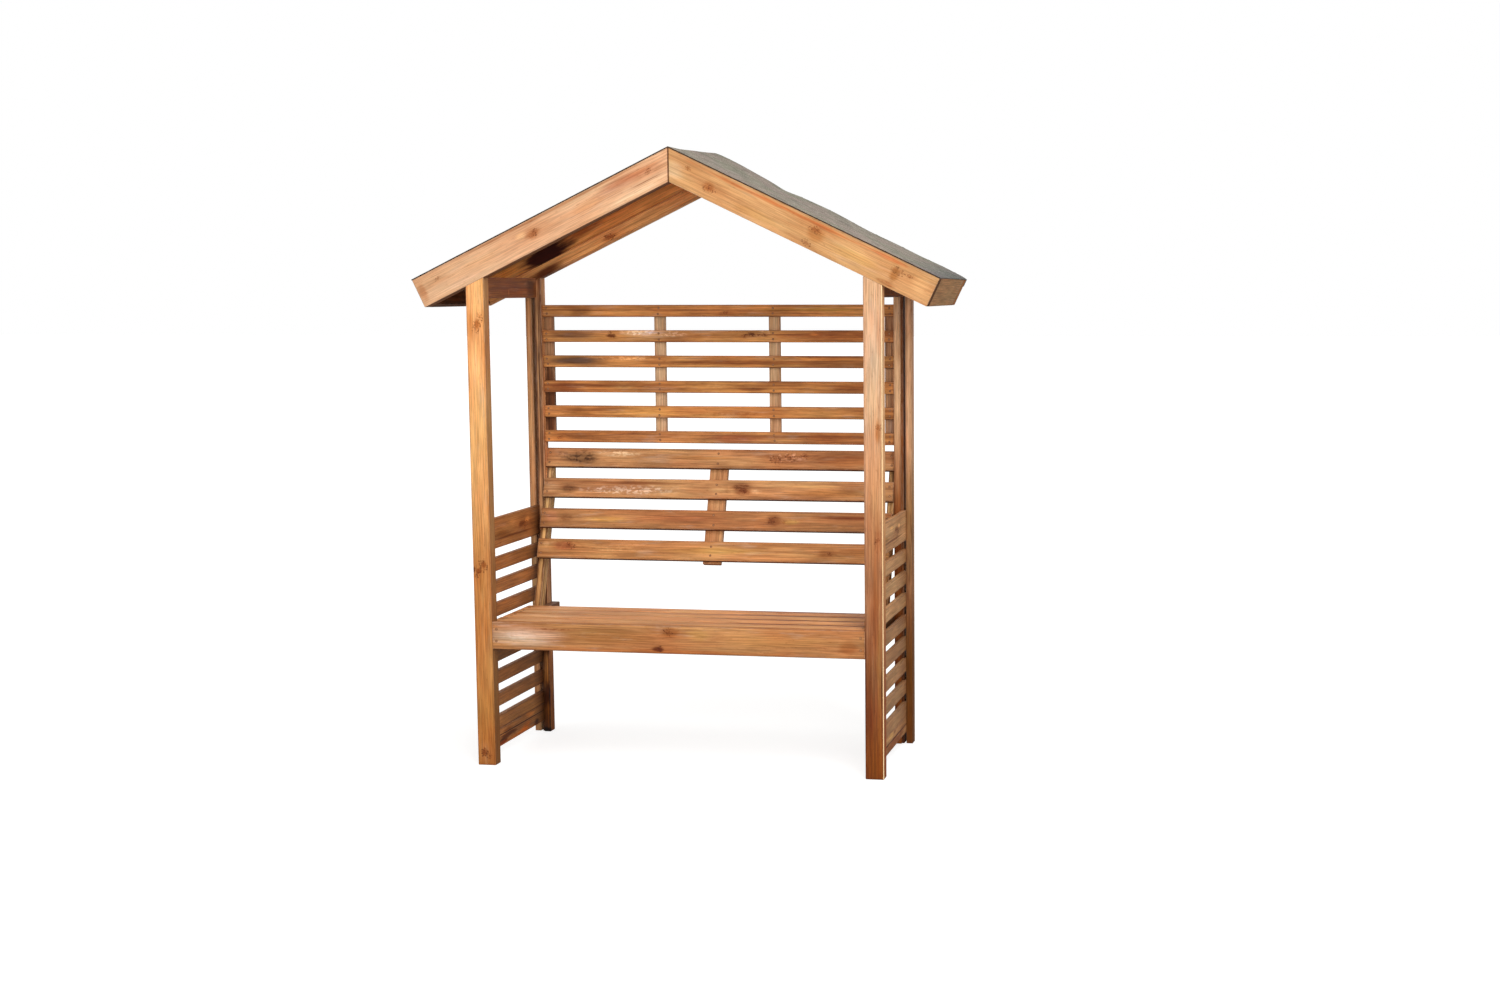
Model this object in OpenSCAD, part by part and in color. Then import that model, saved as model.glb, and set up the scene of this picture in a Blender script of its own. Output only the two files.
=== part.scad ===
// Garden arbour: a roofed timber bench with slatted sides, a slatted back and a felt roof.
// The origin is on the ground, in the middle of the footprint. The bench faces -Y, and +Z is up.

/* [Overall] */
// Width of the frame, over the outer faces of the posts
frame_w = 1350; // [1000:1:2000]
// Depth of the frame, from the front posts' faces to the rearmost timber
frame_d = 580; // [480:1:900]
// Height of the gable's peak, under the felt
ridge_h = 1982; // [1650:1:2400]
// Height of the seat's top
seat_h = 475; // [390:1:580]

/* [Posts] */
// Width of a front post
post_w = 60; // [50:1:90]
// Depth of a front post
post_d = 45; // [35:1:70]
// Width of the outer post at each rear corner
outer_post_w = 22; // [15:1:30]
// Depth of the outer post at each rear corner
outer_post_d = 45; // [35:1:70]
// Depth of the inner post at each rear corner
inner_post_d = 45; // [35:1:70]
// Distance of the inner post's rear face from the rearmost timber
inner_post_inset = 10; // [0:1:20]
// Thickness of the strip beside each inner post, above the side panel
post_strip_t = 8; // [4:1:9]

/* [Side panels] */
// Thickness of the boards and slats of a side
side_t = 15; // [10:1:22]
// Height of the top of a side panel
panel_top = 800; // [700:1:1000]
// Height of the bottom of a side panel
panel_foot = 40; // [20:1:80]
// Height of the wide board at the top of a side panel
top_board_h = 100; // [60:1:130]
// Height of the board at the bottom of a side panel
bottom_board_h = 60; // [40:1:90]
// Height of one side slat
side_slat_h = 45; // [35:1:60]
// Number of slats in a side panel
side_slat_n = 8; // [5:1:9]
// Thickness of the rail under the roof at each side
rail_t = 22; // [15:1:35]
// Height of the rail under the roof at each side
rail_h = 67; // [40:1:100]

/* [Back lattice] */
// Height of one lattice slat
lattice_slat_h = 41; // [30:1:60]
// Thickness of a lattice slat
lattice_slat_t = 15; // [10:1:20]
// Nearest spacing of the lattice slats, evened out over the height
lattice_pitch = 86; // [70:1:130]
// Distance of the lattice slats behind the inner posts' front faces
lattice_inset = 10; // [0:1:12]
// Distance of the lattice's top under the posts' inner top edges
lattice_drop = 92; // [60:1:160]
// Gap between the backrest's top and the lattice
lattice_clear = 21; // [10:1:60]
// Thickness of the upright stiles behind the lattice slats
stile_t = 15; // [10:1:20]
// Width of each of the two middle stiles
mid_stile_w = 39; // [25:1:60]
// Distance of a middle stile's centre line from the middle
mid_stile_x = 201; // [120:1:280]
// Width of the stile against each inner post
end_stile_w = 34; // [15:1:40]

/* [Backrest] */
// Height of the backrest's top above the seat
backrest_rise = 524; // [430:1:640]
// Angle at which the backrest leans back from upright
recline = 20; // [12:0.5:25]
// Height of one backrest slat, measured along the slope
back_slat_h = 68; // [50:1:82]
// Thickness of a backrest slat
back_slat_t = 20; // [14:1:28]
// Spacing of the backrest slats along the slope
back_pitch = 108; // [85:1:115]
// Width of the support behind the slats' ends
end_support_w = 22; // [15:1:40]
// Depth of the support behind the slats' ends
end_support_d = 45; // [30:1:60]
// Width of the support behind the slats' middles
mid_support_w = 62; // [40:1:90]
// Thickness of the support behind the slats' middles
mid_support_t = 20; // [14:1:28]
// Length of the middle support beyond the lowest slat
mid_support_tail = 7; // [0:1:20]

/* [Bench] */
// Height of the board across the front of the bench
front_board_h = 90; // [65:1:120]
// Thickness of the board across the front of the bench
front_board_t = 20; // [14:1:28]
// Thickness of a seat board
seat_t = 18; // [14:1:28]
// Gap between two seat boards, and before the first one
seat_gap = 4; // [2:1:10]
// Gap between the seat's rear edge and the feet of the backrest supports
seat_rear_gap = 27; // [5:1:60]
// Gap between a seat board's end and the side slats
seat_end_gap = 16; // [3:1:20]
// Clearance of the first seat board's notches round the front posts
notch_clear = 2; // [1:0.5:5]
// Width of the bearer under each end of the seat
bearer_w = 28; // [20:1:45]
// Height of the bearer under each end of the seat
bearer_h = 45; // [35:1:60]

/* [Roof] */
// Pitch of the roof
roof_pitch = 25.5; // [18:0.5:32]
// Distance of the eaves beyond the posts' outer faces
eaves_overhang = 180; // [100:1:260]
// Depth of a gable beam, measured square to the slope
beam_h = 95; // [75:1:130]
// Thickness of a gable beam
beam_t = 45; // [30:1:60]
// Thickness of the board along each eaves
eaves_board_t = 20; // [14:1:28]
// Thickness of the roof deck
deck_t = 15; // [10:1:22]
// Depth of a bearer under the deck, measured square to the slope
deck_bearer_h = 42; // [25:1:50]
// Thickness of a bearer under the deck
deck_bearer_t = 20; // [15:1:35]
// Distance from the ridge to the upper end of a deck bearer, along the slope
deck_bearer_start = 42; // [35:1:120]
// Thickness of the roofing felt
felt_t = 3; // [2:0.5:6]

/* [Hidden] */

// Timber and felt colours
honey_wood = [0.78, 0.54, 0.33];
amber_wood = [0.66, 0.40, 0.22];
seat_wood = [0.72, 0.50, 0.34];
russet_wood = [0.55, 0.33, 0.20];
dusky_wood = [0.48, 0.34, 0.27];
green_felt = [0.36, 0.38, 0.34];

// Planes across the width, as distances from the middle
x_out = frame_w / 2;
x_side_out = x_out - outer_post_w;
x_side_in = x_side_out - side_t;
x_strip = x_side_in + post_strip_t;
x_in = x_out - post_w;
x_seat_end = x_side_in - seat_end_gap;

// Planes through the depth
y_front = -frame_d / 2;
y_back = frame_d / 2;
y_post_rear = y_front + post_d;
y_inner_rear = y_back - inner_post_inset;
y_strip = y_back - outer_post_d;
y_inner_front = y_inner_rear - inner_post_d;
y_beam_rear = y_front + beam_t;
y_lattice = y_inner_front + lattice_inset;
y_stile = y_lattice + lattice_slat_t;

// Roof: a point of the right slope is named by its distance s down the slope from the ridge and
// its depth h under the beams' top faces
slope_len = (x_out + eaves_overhang) / cos(roof_pitch);
deck_len = slope_len - eaves_board_t;
function slope_point(s, h) = [
    s * cos(roof_pitch) - h * sin(roof_pitch),
    ridge_h - s * sin(roof_pitch) - h * cos(roof_pitch)
];
// Height at the middle of the plane that lies h under the beams' top faces
function apex_z(h) = ridge_h - h / cos(roof_pitch);
// Height of the beams' undersides at distance x from the middle
function under_beam_z(x) = apex_z(beam_h) - x * tan(roof_pitch);

// Side panels
side_slat_gap = (panel_top - top_board_h - bottom_board_h - panel_foot) / side_slat_n - side_slat_h;
rail_top = under_beam_z(x_in);

// Bench and backrest
bearer_top = seat_h - seat_t;
backrest_top = seat_h + backrest_rise;
y_backrest = y_back - back_slat_t / cos(recline);
support_len = (backrest_top - bearer_top) / cos(recline);
mid_support_len = 3 * back_pitch + back_slat_h + mid_support_tail;
y_support_foot = y_back - (backrest_top - bearer_top) * tan(recline);
y_seat_front = y_front + front_board_t + seat_gap;
y_seat_rear = y_support_foot - seat_rear_gap;
seat_board_n = 4;
seat_board_d = (y_seat_rear - y_seat_front + seat_gap) / seat_board_n - seat_gap;

// Back lattice: as many slats as the height takes, evenly spaced
lattice_top = under_beam_z(x_in) - lattice_drop;
lattice_foot = backrest_top + lattice_clear;
lattice_run = lattice_top - lattice_foot - lattice_slat_h;
lattice_gaps = max(1, round(lattice_run / lattice_pitch));
lattice_step = lattice_run / lattice_gaps;

// A squared timber between two planes in each direction
module timber(x0, x1, y0, y1, z0, z1) {
    translate([x0, y0, z0])
        cube([x1 - x0, y1 - y0, z1 - z0]);
}

// An outline in the XZ plane, run through the depth from y0 to y1
module through_depth(y0, y1) {
    translate([0, y1, 0])
        rotate([90, 0, 0])
            linear_extrude(y1 - y0)
                children();
}

// Moves a right-hand piece to the left when side is -1
module on_side(side) {
    if (side < 0)
        mirror([1, 0, 0]) children();
    else
        children();
}

// An upright from the ground to the gable beam, its top cut to the roof's slope
module upright(x0, x1, y0, y1) {
    through_depth(y0, y1)
        polygon([[x0, 0], [x1, 0], [x1, under_beam_z(x1)], [x0, under_beam_z(x0)]]);
}

// A layer of the right roof slope from the ridge down to s1, between the depths h0 and h1
module slope_layer(s1, h0, h1, y0, y1) {
    through_depth(y0, y1)
        polygon([[0, apex_z(h0)], slope_point(s1, h0), slope_point(s1, h1), [0, apex_z(h1)]]);
}

// A piece of the right roof slope with both ends square to the slope
module slope_piece(s0, s1, h0, h1, y0, y1) {
    through_depth(y0, y1)
        polygon([slope_point(s0, h0), slope_point(s1, h0), slope_point(s1, h1), slope_point(s0, h1)]);
}

// Places a piece drawn with the backrest's front face in the XZ plane and its top edge at the origin
module reclined() {
    translate([0, y_backrest, backrest_top])
        rotate([-recline, 0, 0])
            children();
}

module front_post(side) {
    color(honey_wood)
        on_side(side)
            upright(x_in, x_out, y_front, y_post_rear);
}

module rear_outer_post(side) {
    color(dusky_wood)
        on_side(side)
            upright(x_side_out, x_out, y_strip, y_back);
}

// The inner post fills from the side boards to the line of the front posts' inner faces
module rear_inner_post(side) {
    color(amber_wood)
        on_side(side)
            upright(x_in, x_side_in, y_inner_front, y_inner_rear);
}

// A thin strip on the inner post's outer face, from the ground to the gable beam
module rear_post_strip(side) {
    color(amber_wood)
        on_side(side)
            through_depth(y_strip, y_back)
                polygon([[x_side_in, 0], [x_strip, 0],
                         [x_strip, under_beam_z(x_strip)], [x_side_in, under_beam_z(x_side_in)]]);
}

// The rail runs from the front post to the rear inner post, its top level with the posts' inner top
// edges, and is housed round the front beam where that is thicker than the post
module side_top_rail(side) {
    color(russet_wood)
        on_side(side)
            difference() {
                timber(x_side_out - rail_t, x_side_out, y_post_rear, y_inner_front,
                       rail_top - rail_h, rail_top);
                if (beam_t > post_d)
                    slope_layer(slope_len, 0, beam_h, y_front, y_beam_rear);
            }
}

// A board or slat of a side, nailed to the rear outer post and butted on the front post. It laps over
// the strip on the inner post, which it is thinned for.
module side_piece(side, z0, z1) {
    color(dusky_wood)
        on_side(side)
            difference() {
                timber(x_side_in, x_side_out, y_post_rear, y_back, z0, z1);
                timber(x_side_in - 1, x_strip, y_strip, y_back + 1, z0 - 1, z1 + 1);
            }
}

module side_top_board(side) {
    side_piece(side, panel_top - top_board_h, panel_top);
}

module side_slats(side) {
    for (i = [0 : side_slat_n - 1]) {
        z0 = panel_foot + bottom_board_h + i * (side_slat_h + side_slat_gap);
        side_piece(side, z0, z0 + side_slat_h);
    }
}

module side_bottom_board(side) {
    side_piece(side, panel_foot, panel_foot + bottom_board_h);
}

module lattice_slats() {
    color(amber_wood)
        for (i = [0 : lattice_gaps]) {
            z0 = lattice_foot + i * lattice_step;
            timber(-x_in, x_in, y_lattice, y_stile, z0, z0 + lattice_slat_h);
        }
}

// A pair of uprights behind the lattice slats, w wide, their centre lines x from the middle
module stile_pair(x, w) {
    color(russet_wood)
        for (side = [-1, 1])
            on_side(side)
                timber(x - w / 2, x + w / 2, y_stile, y_stile + stile_t, lattice_foot, lattice_top);
}

module lattice_mid_stiles() {
    stile_pair(mid_stile_x, mid_stile_w);
}

module lattice_end_stiles() {
    stile_pair(x_in - end_stile_w / 2, end_stile_w);
}

// Backrest slats are counted from the top
module backrest_slat(i) {
    color(amber_wood)
        reclined()
            timber(-x_in, x_in, 0, back_slat_t, -(i - 1) * back_pitch - back_slat_h, -(i - 1) * back_pitch);
}

// The end support stands on the seat bearer and is cut flush with the rearmost timber
module backrest_support_end(side) {
    color(russet_wood)
        on_side(side)
            intersection() {
                reclined()
                    timber(x_in - end_support_w, x_in, back_slat_t, back_slat_t + end_support_d,
                           -support_len, 0);
                timber(0, x_out, y_front, y_back, bearer_top, backrest_top);
            }
}

module backrest_support_centre() {
    color(russet_wood)
        intersection() {
            reclined()
                timber(-mid_support_w / 2, mid_support_w / 2, back_slat_t, back_slat_t + mid_support_t,
                       -mid_support_len, 0);
            timber(-x_in, x_in, y_front, y_back, bearer_top, backrest_top);
        }
}

module seat_front_board() {
    color(honey_wood)
        timber(-x_in, x_in, y_front, y_front + front_board_t, seat_h - front_board_h, seat_h);
}

// Seat boards are counted from the front, and any that reaches the front posts is notched round them
module seat_board(i) {
    y0 = y_seat_front + (i - 1) * (seat_board_d + seat_gap);
    color(seat_wood)
        difference() {
            timber(-x_seat_end, x_seat_end, y0, y0 + seat_board_d, bearer_top, seat_h);
            if (y0 < y_post_rear + notch_clear)
                for (side = [-1, 1])
                    on_side(side)
                        timber(x_in - notch_clear, x_out, y_front, y_post_rear + notch_clear, 0, ridge_h);
        }
}

// The bearer runs from the front board to the rear face of the inner post, along the posts' inner faces
module seat_bearer(side) {
    color(russet_wood)
        on_side(side)
            timber(x_in - bearer_w, x_in, y_front + front_board_t, y_inner_rear,
                   bearer_top - bearer_h, bearer_top);
}

module front_gable_beam(side) {
    color(honey_wood)
        on_side(side)
            slope_layer(slope_len, 0, beam_h, y_front, y_beam_rear);
}

module rear_gable_beam(side) {
    color(amber_wood)
        on_side(side)
            slope_layer(slope_len, 0, beam_h, y_inner_front, y_inner_front + beam_t);
}

module eaves_board(side) {
    color(russet_wood)
        on_side(side)
            slope_piece(deck_len, slope_len, 0, beam_h, y_beam_rear, y_inner_front);
}

module roof_deck(side) {
    color(amber_wood)
        on_side(side)
            slope_layer(deck_len, 0, deck_t, y_beam_rear, y_inner_front);
}

// One bearer on the inner face of each of the four gable beams
module deck_bearers() {
    color(amber_wood)
        for (side = [-1, 1], y0 = [y_beam_rear, y_inner_front - deck_bearer_t])
            on_side(side)
                slope_piece(deck_bearer_start, deck_len, deck_t, deck_t + deck_bearer_h,
                            y0, y0 + deck_bearer_t);
}

// One sheet of felt, folded over the ridge
module roof_felt() {
    color(green_felt)
        for (side = [-1, 1])
            on_side(side)
                slope_layer(slope_len, -felt_t, 0, y_front, y_back);
}

front_post(-1);  // front_post_left
front_post(1);  // front_post_right
rear_outer_post(-1);  // rear_outer_post_left
rear_outer_post(1);  // rear_outer_post_right
rear_inner_post(-1);  // rear_inner_post_left
rear_inner_post(1);  // rear_inner_post_right
rear_post_strip(-1);  // rear_post_strip_left
rear_post_strip(1);  // rear_post_strip_right
side_top_rail(-1);  // side_top_rail_left
side_top_rail(1);  // side_top_rail_right
side_top_board(-1);  // side_top_board_left
side_top_board(1);  // side_top_board_right
side_slats(-1);  // side_slats_left
side_slats(1);  // side_slats_right
side_bottom_board(-1);  // side_bottom_board_left
side_bottom_board(1);  // side_bottom_board_right
lattice_slats();
lattice_mid_stiles();
lattice_end_stiles();
backrest_slat(1);  // backrest_slat_1
backrest_slat(2);  // backrest_slat_2
backrest_slat(3);  // backrest_slat_3
backrest_slat(4);  // backrest_slat_4
backrest_support_end(-1);  // backrest_support_left
backrest_support_end(1);  // backrest_support_right
backrest_support_centre();
seat_front_board();
seat_board(1);  // seat_board_1
seat_board(2);  // seat_board_2
seat_board(3);  // seat_board_3
seat_board(4);  // seat_board_4
seat_bearer(-1);  // seat_bearer_left
seat_bearer(1);  // seat_bearer_right
front_gable_beam(-1);  // front_gable_beam_left
front_gable_beam(1);  // front_gable_beam_right
rear_gable_beam(-1);  // rear_gable_beam_left
rear_gable_beam(1);  // rear_gable_beam_right
eaves_board(-1);  // eaves_board_left
eaves_board(1);  // eaves_board_right
roof_deck(-1);  // roof_deck_left
roof_deck(1);  // roof_deck_right
deck_bearers();
roof_felt();
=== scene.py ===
# %% [markdown]
# # A garden arbour in stained softwood
# The construction comes ready made: every post, slat and beam is already in its place, in metres.
# This lesson sets up a plain white studio, gives each timber its grain, its knots and its stain,
# boards the roof, lays the felt, and drives in the nails and screws.

# %% Open the frame
import math
import random

import bmesh
import bpy
from mathutils import Matrix, Vector, noise


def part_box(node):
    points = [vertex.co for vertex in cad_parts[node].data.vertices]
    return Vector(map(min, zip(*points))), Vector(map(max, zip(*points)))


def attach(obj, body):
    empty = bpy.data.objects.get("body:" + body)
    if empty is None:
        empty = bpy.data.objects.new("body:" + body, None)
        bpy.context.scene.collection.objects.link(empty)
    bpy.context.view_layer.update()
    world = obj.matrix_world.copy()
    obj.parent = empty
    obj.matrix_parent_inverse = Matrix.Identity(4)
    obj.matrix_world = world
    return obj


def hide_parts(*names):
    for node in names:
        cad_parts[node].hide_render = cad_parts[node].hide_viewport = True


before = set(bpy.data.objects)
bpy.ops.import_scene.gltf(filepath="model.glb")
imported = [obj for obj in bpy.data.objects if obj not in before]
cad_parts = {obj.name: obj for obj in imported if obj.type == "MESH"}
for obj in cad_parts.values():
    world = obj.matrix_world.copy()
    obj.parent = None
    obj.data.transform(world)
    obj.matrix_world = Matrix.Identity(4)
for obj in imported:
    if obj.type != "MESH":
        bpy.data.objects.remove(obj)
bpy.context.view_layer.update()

scene = bpy.context.scene

# %% [markdown]
# ## The camera
# The camera stands a little to the right of the arbour, at head height, and looks slightly down. The
# arbour sits left of the picture's middle. Turning the camera to put it there would skew the posts, so
# the lens is shifted instead, as an architect's camera does.

# %% Set up the camera
camera_place = Vector((1.8533, -6.578, 1.5425))
camera_turn = math.radians(9.807)
camera_dip = math.radians(6.589)
camera_roll = math.radians(-0.162)

camera_data = bpy.data.cameras.new("camera")
camera_data.sensor_width = 36.0
camera_data.lens = 49.57
camera_data.shift_x = -0.1079
camera_data.shift_y = 0.0184
camera = bpy.data.objects.new("camera", camera_data)
scene.collection.objects.link(camera)
camera.matrix_world = (
    Matrix.Translation(camera_place)
    @ Matrix.Rotation(camera_turn, 4, "Z")
    @ Matrix.Rotation(math.pi / 2 - camera_dip, 4, "X")
    @ Matrix.Rotation(camera_roll, 4, "Z")
)
scene.camera = camera
print("camera:", camera_data.lens, "mm lens at", tuple(camera_place))

# %% [markdown]
# ## Small helpers for shader nodes
# A shader is some sums on the place of each point. These helpers add one node each and hand back its
# output, so that the sums read from top to bottom.

# %% Helpers: nodes, sums and materials
def put(tree, kind, values=None, **settings):
    """Adds a node. values gives its inputs, by name or number: a number, a colour or an output."""
    node = tree.nodes.new(kind)
    for name, value in settings.items():
        setattr(node, name, value)
    for key, value in (values or {}).items():
        if isinstance(value, bpy.types.NodeSocket):
            tree.links.new(value, node.inputs[key])
        else:
            node.inputs[key].default_value = value
    return node


def calc(tree, operation, *values, clamp=False):
    """A sum on numbers."""
    node = put(tree, "ShaderNodeMath", dict(enumerate(values)), operation=operation, use_clamp=clamp)
    return node.outputs[0]


def times(tree, first, second):
    return calc(tree, "MULTIPLY", first, second)


def vector_calc(tree, operation, *values):
    """A sum on vectors."""
    node = put(tree, "ShaderNodeVectorMath", dict(enumerate(values)), operation=operation)
    return node.outputs[1 if operation in ("LENGTH", "DOT_PRODUCT") else 0]


def step(tree, value, low, high, out_low=0.0, out_high=1.0):
    """A soft step: out_low below low, out_high above high."""
    inputs = {0: value, 1: low, 2: high, 3: out_low, 4: out_high}
    return put(tree, "ShaderNodeMapRange", inputs, interpolation_type="SMOOTHSTEP").outputs[0]


def new_finish(name):
    """A new material, with its tree, its shader and the coordinates of each point."""
    material = bpy.data.materials.new(name)
    material.use_nodes = True
    tree = material.node_tree
    return material, tree, tree.nodes["Principled BSDF"], tree.nodes.new("ShaderNodeTexCoord").outputs


# %% [markdown]
# ## Light
# Large lamps cast soft shadows. One in front and to the right lights the front faces and lets the inner
# faces of the left side fall into shade. A high one lights the seat, and a low one reaches the timbers
# under the roof. A weaker lamp from the left and an even surround, a little warm, keep the shade open.

# %% Hang the lamps
scene.view_settings.view_transform = "Standard"
lamp_target = Vector((0.0, 0.0, 1.0))


def hang_lamp(name, place, width, power):
    """A square soft lamp at place, turned to face the arbour."""
    data = bpy.data.lights.new(name, "AREA")
    data.size = width
    data.energy = power
    lamp = bpy.data.objects.new(name, data)
    lamp.location = place
    lamp.rotation_euler = (lamp_target - Vector(place)).to_track_quat("-Z", "Y").to_euler()
    scene.collection.objects.link(lamp)
    print(name, "at", place, "of", power, "W")


hang_lamp("front_lamp", (2.9, -4.4, 2.4), 2.2, 76.0)
hang_lamp("high_lamp", (1.8, -3.0, 4.4), 2.2, 110.0)
hang_lamp("low_lamp", (0.8, -5.2, 1.0), 1.8, 52.0)
hang_lamp("side_lamp", (-4.0, -3.4, 2.2), 2.6, 42.0)

# %% Surround it with white
surround = bpy.data.worlds.new("surround")
surround.use_nodes = True
scene.world = surround
tree = surround.node_tree
tree.nodes.clear()
rays = put(tree, "ShaderNodeLightPath").outputs
seen = calc(tree, "MAXIMUM", rays["Is Camera Ray"], rays["Is Glossy Ray"])
soft_white = put(tree, "ShaderNodeBackground", {"Color": (1.0, 0.97, 0.92, 1.0), "Strength": 0.38}).outputs[0]
plain_white = put(tree, "ShaderNodeBackground", {"Color": (1.0, 1.0, 1.0, 1.0), "Strength": 1.0}).outputs[0]
either = put(tree, "ShaderNodeMixShader", {0: seen, 1: soft_white, 2: plain_white}).outputs[0]
put(tree, "ShaderNodeOutputWorld", {0: either})

# %% [markdown]
# ## The floor
# A plain pale floor shows the arbour's soft shadow and nothing else. The camera sees a little extra
# white on it, so that it runs into the white surround without a line. That extra white lights nothing.

# %% Lay the floor
floor_reach = 60.0
corners = [(x * floor_reach, y * floor_reach, 0) for x, y in ((-1, -1), (1, -1), (1, 1), (-1, 1))]
floor_mesh = bpy.data.meshes.new("studio_floor")
floor_mesh.from_pydata(corners, [], [(0, 1, 2, 3)])
floor = bpy.data.objects.new("studio_floor", floor_mesh)
scene.collection.objects.link(floor)

floor_paint, tree, shader, coordinates = new_finish("floor_paint")
shader.inputs["Base Color"].default_value = (0.4, 0.4, 0.4, 1.0)
shader.inputs["Roughness"].default_value = 0.9
shader.inputs["Emission Color"].default_value = (1.0, 1.0, 1.0, 1.0)
from_arbour = vector_calc(tree, "LENGTH", coordinates["Object"])
extra_white = step(tree, from_arbour, 0.6, 2.6, 0.78, 1.0)
seen = put(tree, "ShaderNodeLightPath").outputs["Is Camera Ray"]
tree.links.new(times(tree, seen, extra_white), shader.inputs["Emission Strength"])
floor_mesh.materials.append(floor_paint)

# %% [markdown]
# ## Shared effects
# Knots, rings, streaks and worn edges are on every timber. Each effect is built once, as a shader group
# with named inputs and outputs, and placed in each material with that timber's own values.

# %% Helpers: more sums, noise and colours
def plus(tree, first, second):
    return calc(tree, "ADD", first, second)


def minus(tree, first, second):
    return calc(tree, "SUBTRACT", first, second)


def times_plus(tree, first, second, third):
    return calc(tree, "MULTIPLY_ADD", first, second, third)


def split(tree, vector):
    """The three parts of a vector."""
    return put(tree, "ShaderNodeSeparateXYZ", {0: vector}).outputs


def join(tree, x, y, z):
    """A vector from three parts."""
    return put(tree, "ShaderNodeCombineXYZ", {0: x, 1: y, 2: z}).outputs[0]


def cloud(tree, place, scale, detail=2.0, roughness=0.5):
    """Soft noise from 0 to 1."""
    inputs = {"Vector": place, "Scale": scale, "Detail": detail, "Roughness": roughness}
    return put(tree, "ShaderNodeTexNoise", inputs).outputs["Fac"]


def mix_colour(tree, factor, first, second, blend="MIX"):
    """Mixes two colours."""
    inputs = {0: factor, 6: first, 7: second}
    return put(tree, "ShaderNodeMix", inputs, data_type="RGBA", blend_type=blend).outputs[2]


def tinted(tree, factor, colour, tint):
    """The colour multiplied by a tint, as far as factor says."""
    return mix_colour(tree, factor, colour, tuple(tint) + (1.0,), "MULTIPLY")


def shaded(tree, colour, amount):
    """The colour made darker or lighter by an amount."""
    return mix_colour(tree, 1.0, colour, join(tree, amount, amount, amount), "MULTIPLY")


# %% Helpers: effects
socket_kinds = {"number": "NodeSocketFloat", "vector": "NodeSocketVector", "colour": "NodeSocketColor"}
nowhere = (0.0, 0.0, 0.0)


def new_effect(name, inputs, outputs):
    """An empty shader group. inputs gives each input's first value, and outputs each output's kind."""
    group = bpy.data.node_groups.new(name, "ShaderNodeTree")
    for socket_name, value in inputs.items():
        kind = "number" if isinstance(value, float) else {3: "vector", 4: "colour"}[len(value)]
        socket = group.interface.new_socket(socket_name, in_out="INPUT", socket_type=socket_kinds[kind])
        socket.default_value = value
    for socket_name, kind in outputs.items():
        group.interface.new_socket(socket_name, in_out="OUTPUT", socket_type=socket_kinds[kind])
    return group, group.nodes.new("NodeGroupInput").outputs, group.nodes.new("NodeGroupOutput").inputs


def hand_out(tree, result, **outputs):
    """Strings a group's outputs to the sums that make them. late_wood stands for Late Wood."""
    for name, value in outputs.items():
        tree.links.new(value, result[name.replace("_", " ").title()])


def use_effect(tree, group, values):
    """Places a shader group in a material, with its own values."""
    return put(tree, "ShaderNodeGroup", values, node_tree=group).outputs


# %% [markdown]
# ## Where a point lies in its board
# Every board gets coordinates of its own: along the grain, across the face and through the thickness,
# measured from its middle. Where one piece of the frame holds several like boards, such as the slats
# of a side, the spacing between them brings each one back to its own middle, and gives it a number
# that picks its own stretch of grain.

# %% Effect: board coordinates
board_place, given, result = new_effect(
    "board_place",
    {"Position": nowhere, "Spacing": 10.0, "First": 0.0, "Seed": 0.0},
    {"Place": "vector", "Grain": "vector", "Board": "number", "Number": "number"},
)
t = board_place
along, across, through = split(t, given["Position"])
steps = calc(t, "DIVIDE", minus(t, across, given["First"]), given["Spacing"])
number = calc(t, "ROUND", steps)
middle = times_plus(t, number, given["Spacing"], given["First"])
place = join(t, along, minus(t, across, middle), through)
draw = put(t, "ShaderNodeTexWhiteNoise", {1: plus(t, number, given["Seed"])}, noise_dimensions="1D").outputs
shuffle = put(t, "ShaderNodeVectorMath", {0: draw["Color"], "Scale": 40.0}, operation="SCALE").outputs[0]
grain = vector_calc(t, "ADD", place, shuffle)
hand_out(t, result, place=place, grain=grain, board=draw["Value"], number=number)

# %% [markdown]
# ## Knots
# A knot is the foot of a branch. The board's grain swells round it, its heart is hard and cracked, and
# a broken dark ring of bark marks its rim. No two are alike, so each one is stretched along the grain
# and leans by its own amount, and coarse noise eats into its outline. It adds to the swirl, heart, rim
# and halo of the knots before it, and it stays on the one board that it is given.

# %% Effect: one knot
knot_parts = ("Swirl", "Heart", "Rim", "Halo")
on_board_inputs = {"Place": nowhere, "Grain": nowhere, "Number": 0.0, "On": 0.0, "Along": 0.0, "Across": 0.0}


def off_board(tree, given):
    """Zero on the board that a knot or mark is on, and large on every other."""
    return times(tree, calc(tree, "ABSOLUTE", minus(tree, given["Number"], given["On"])), 20.0)


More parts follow.
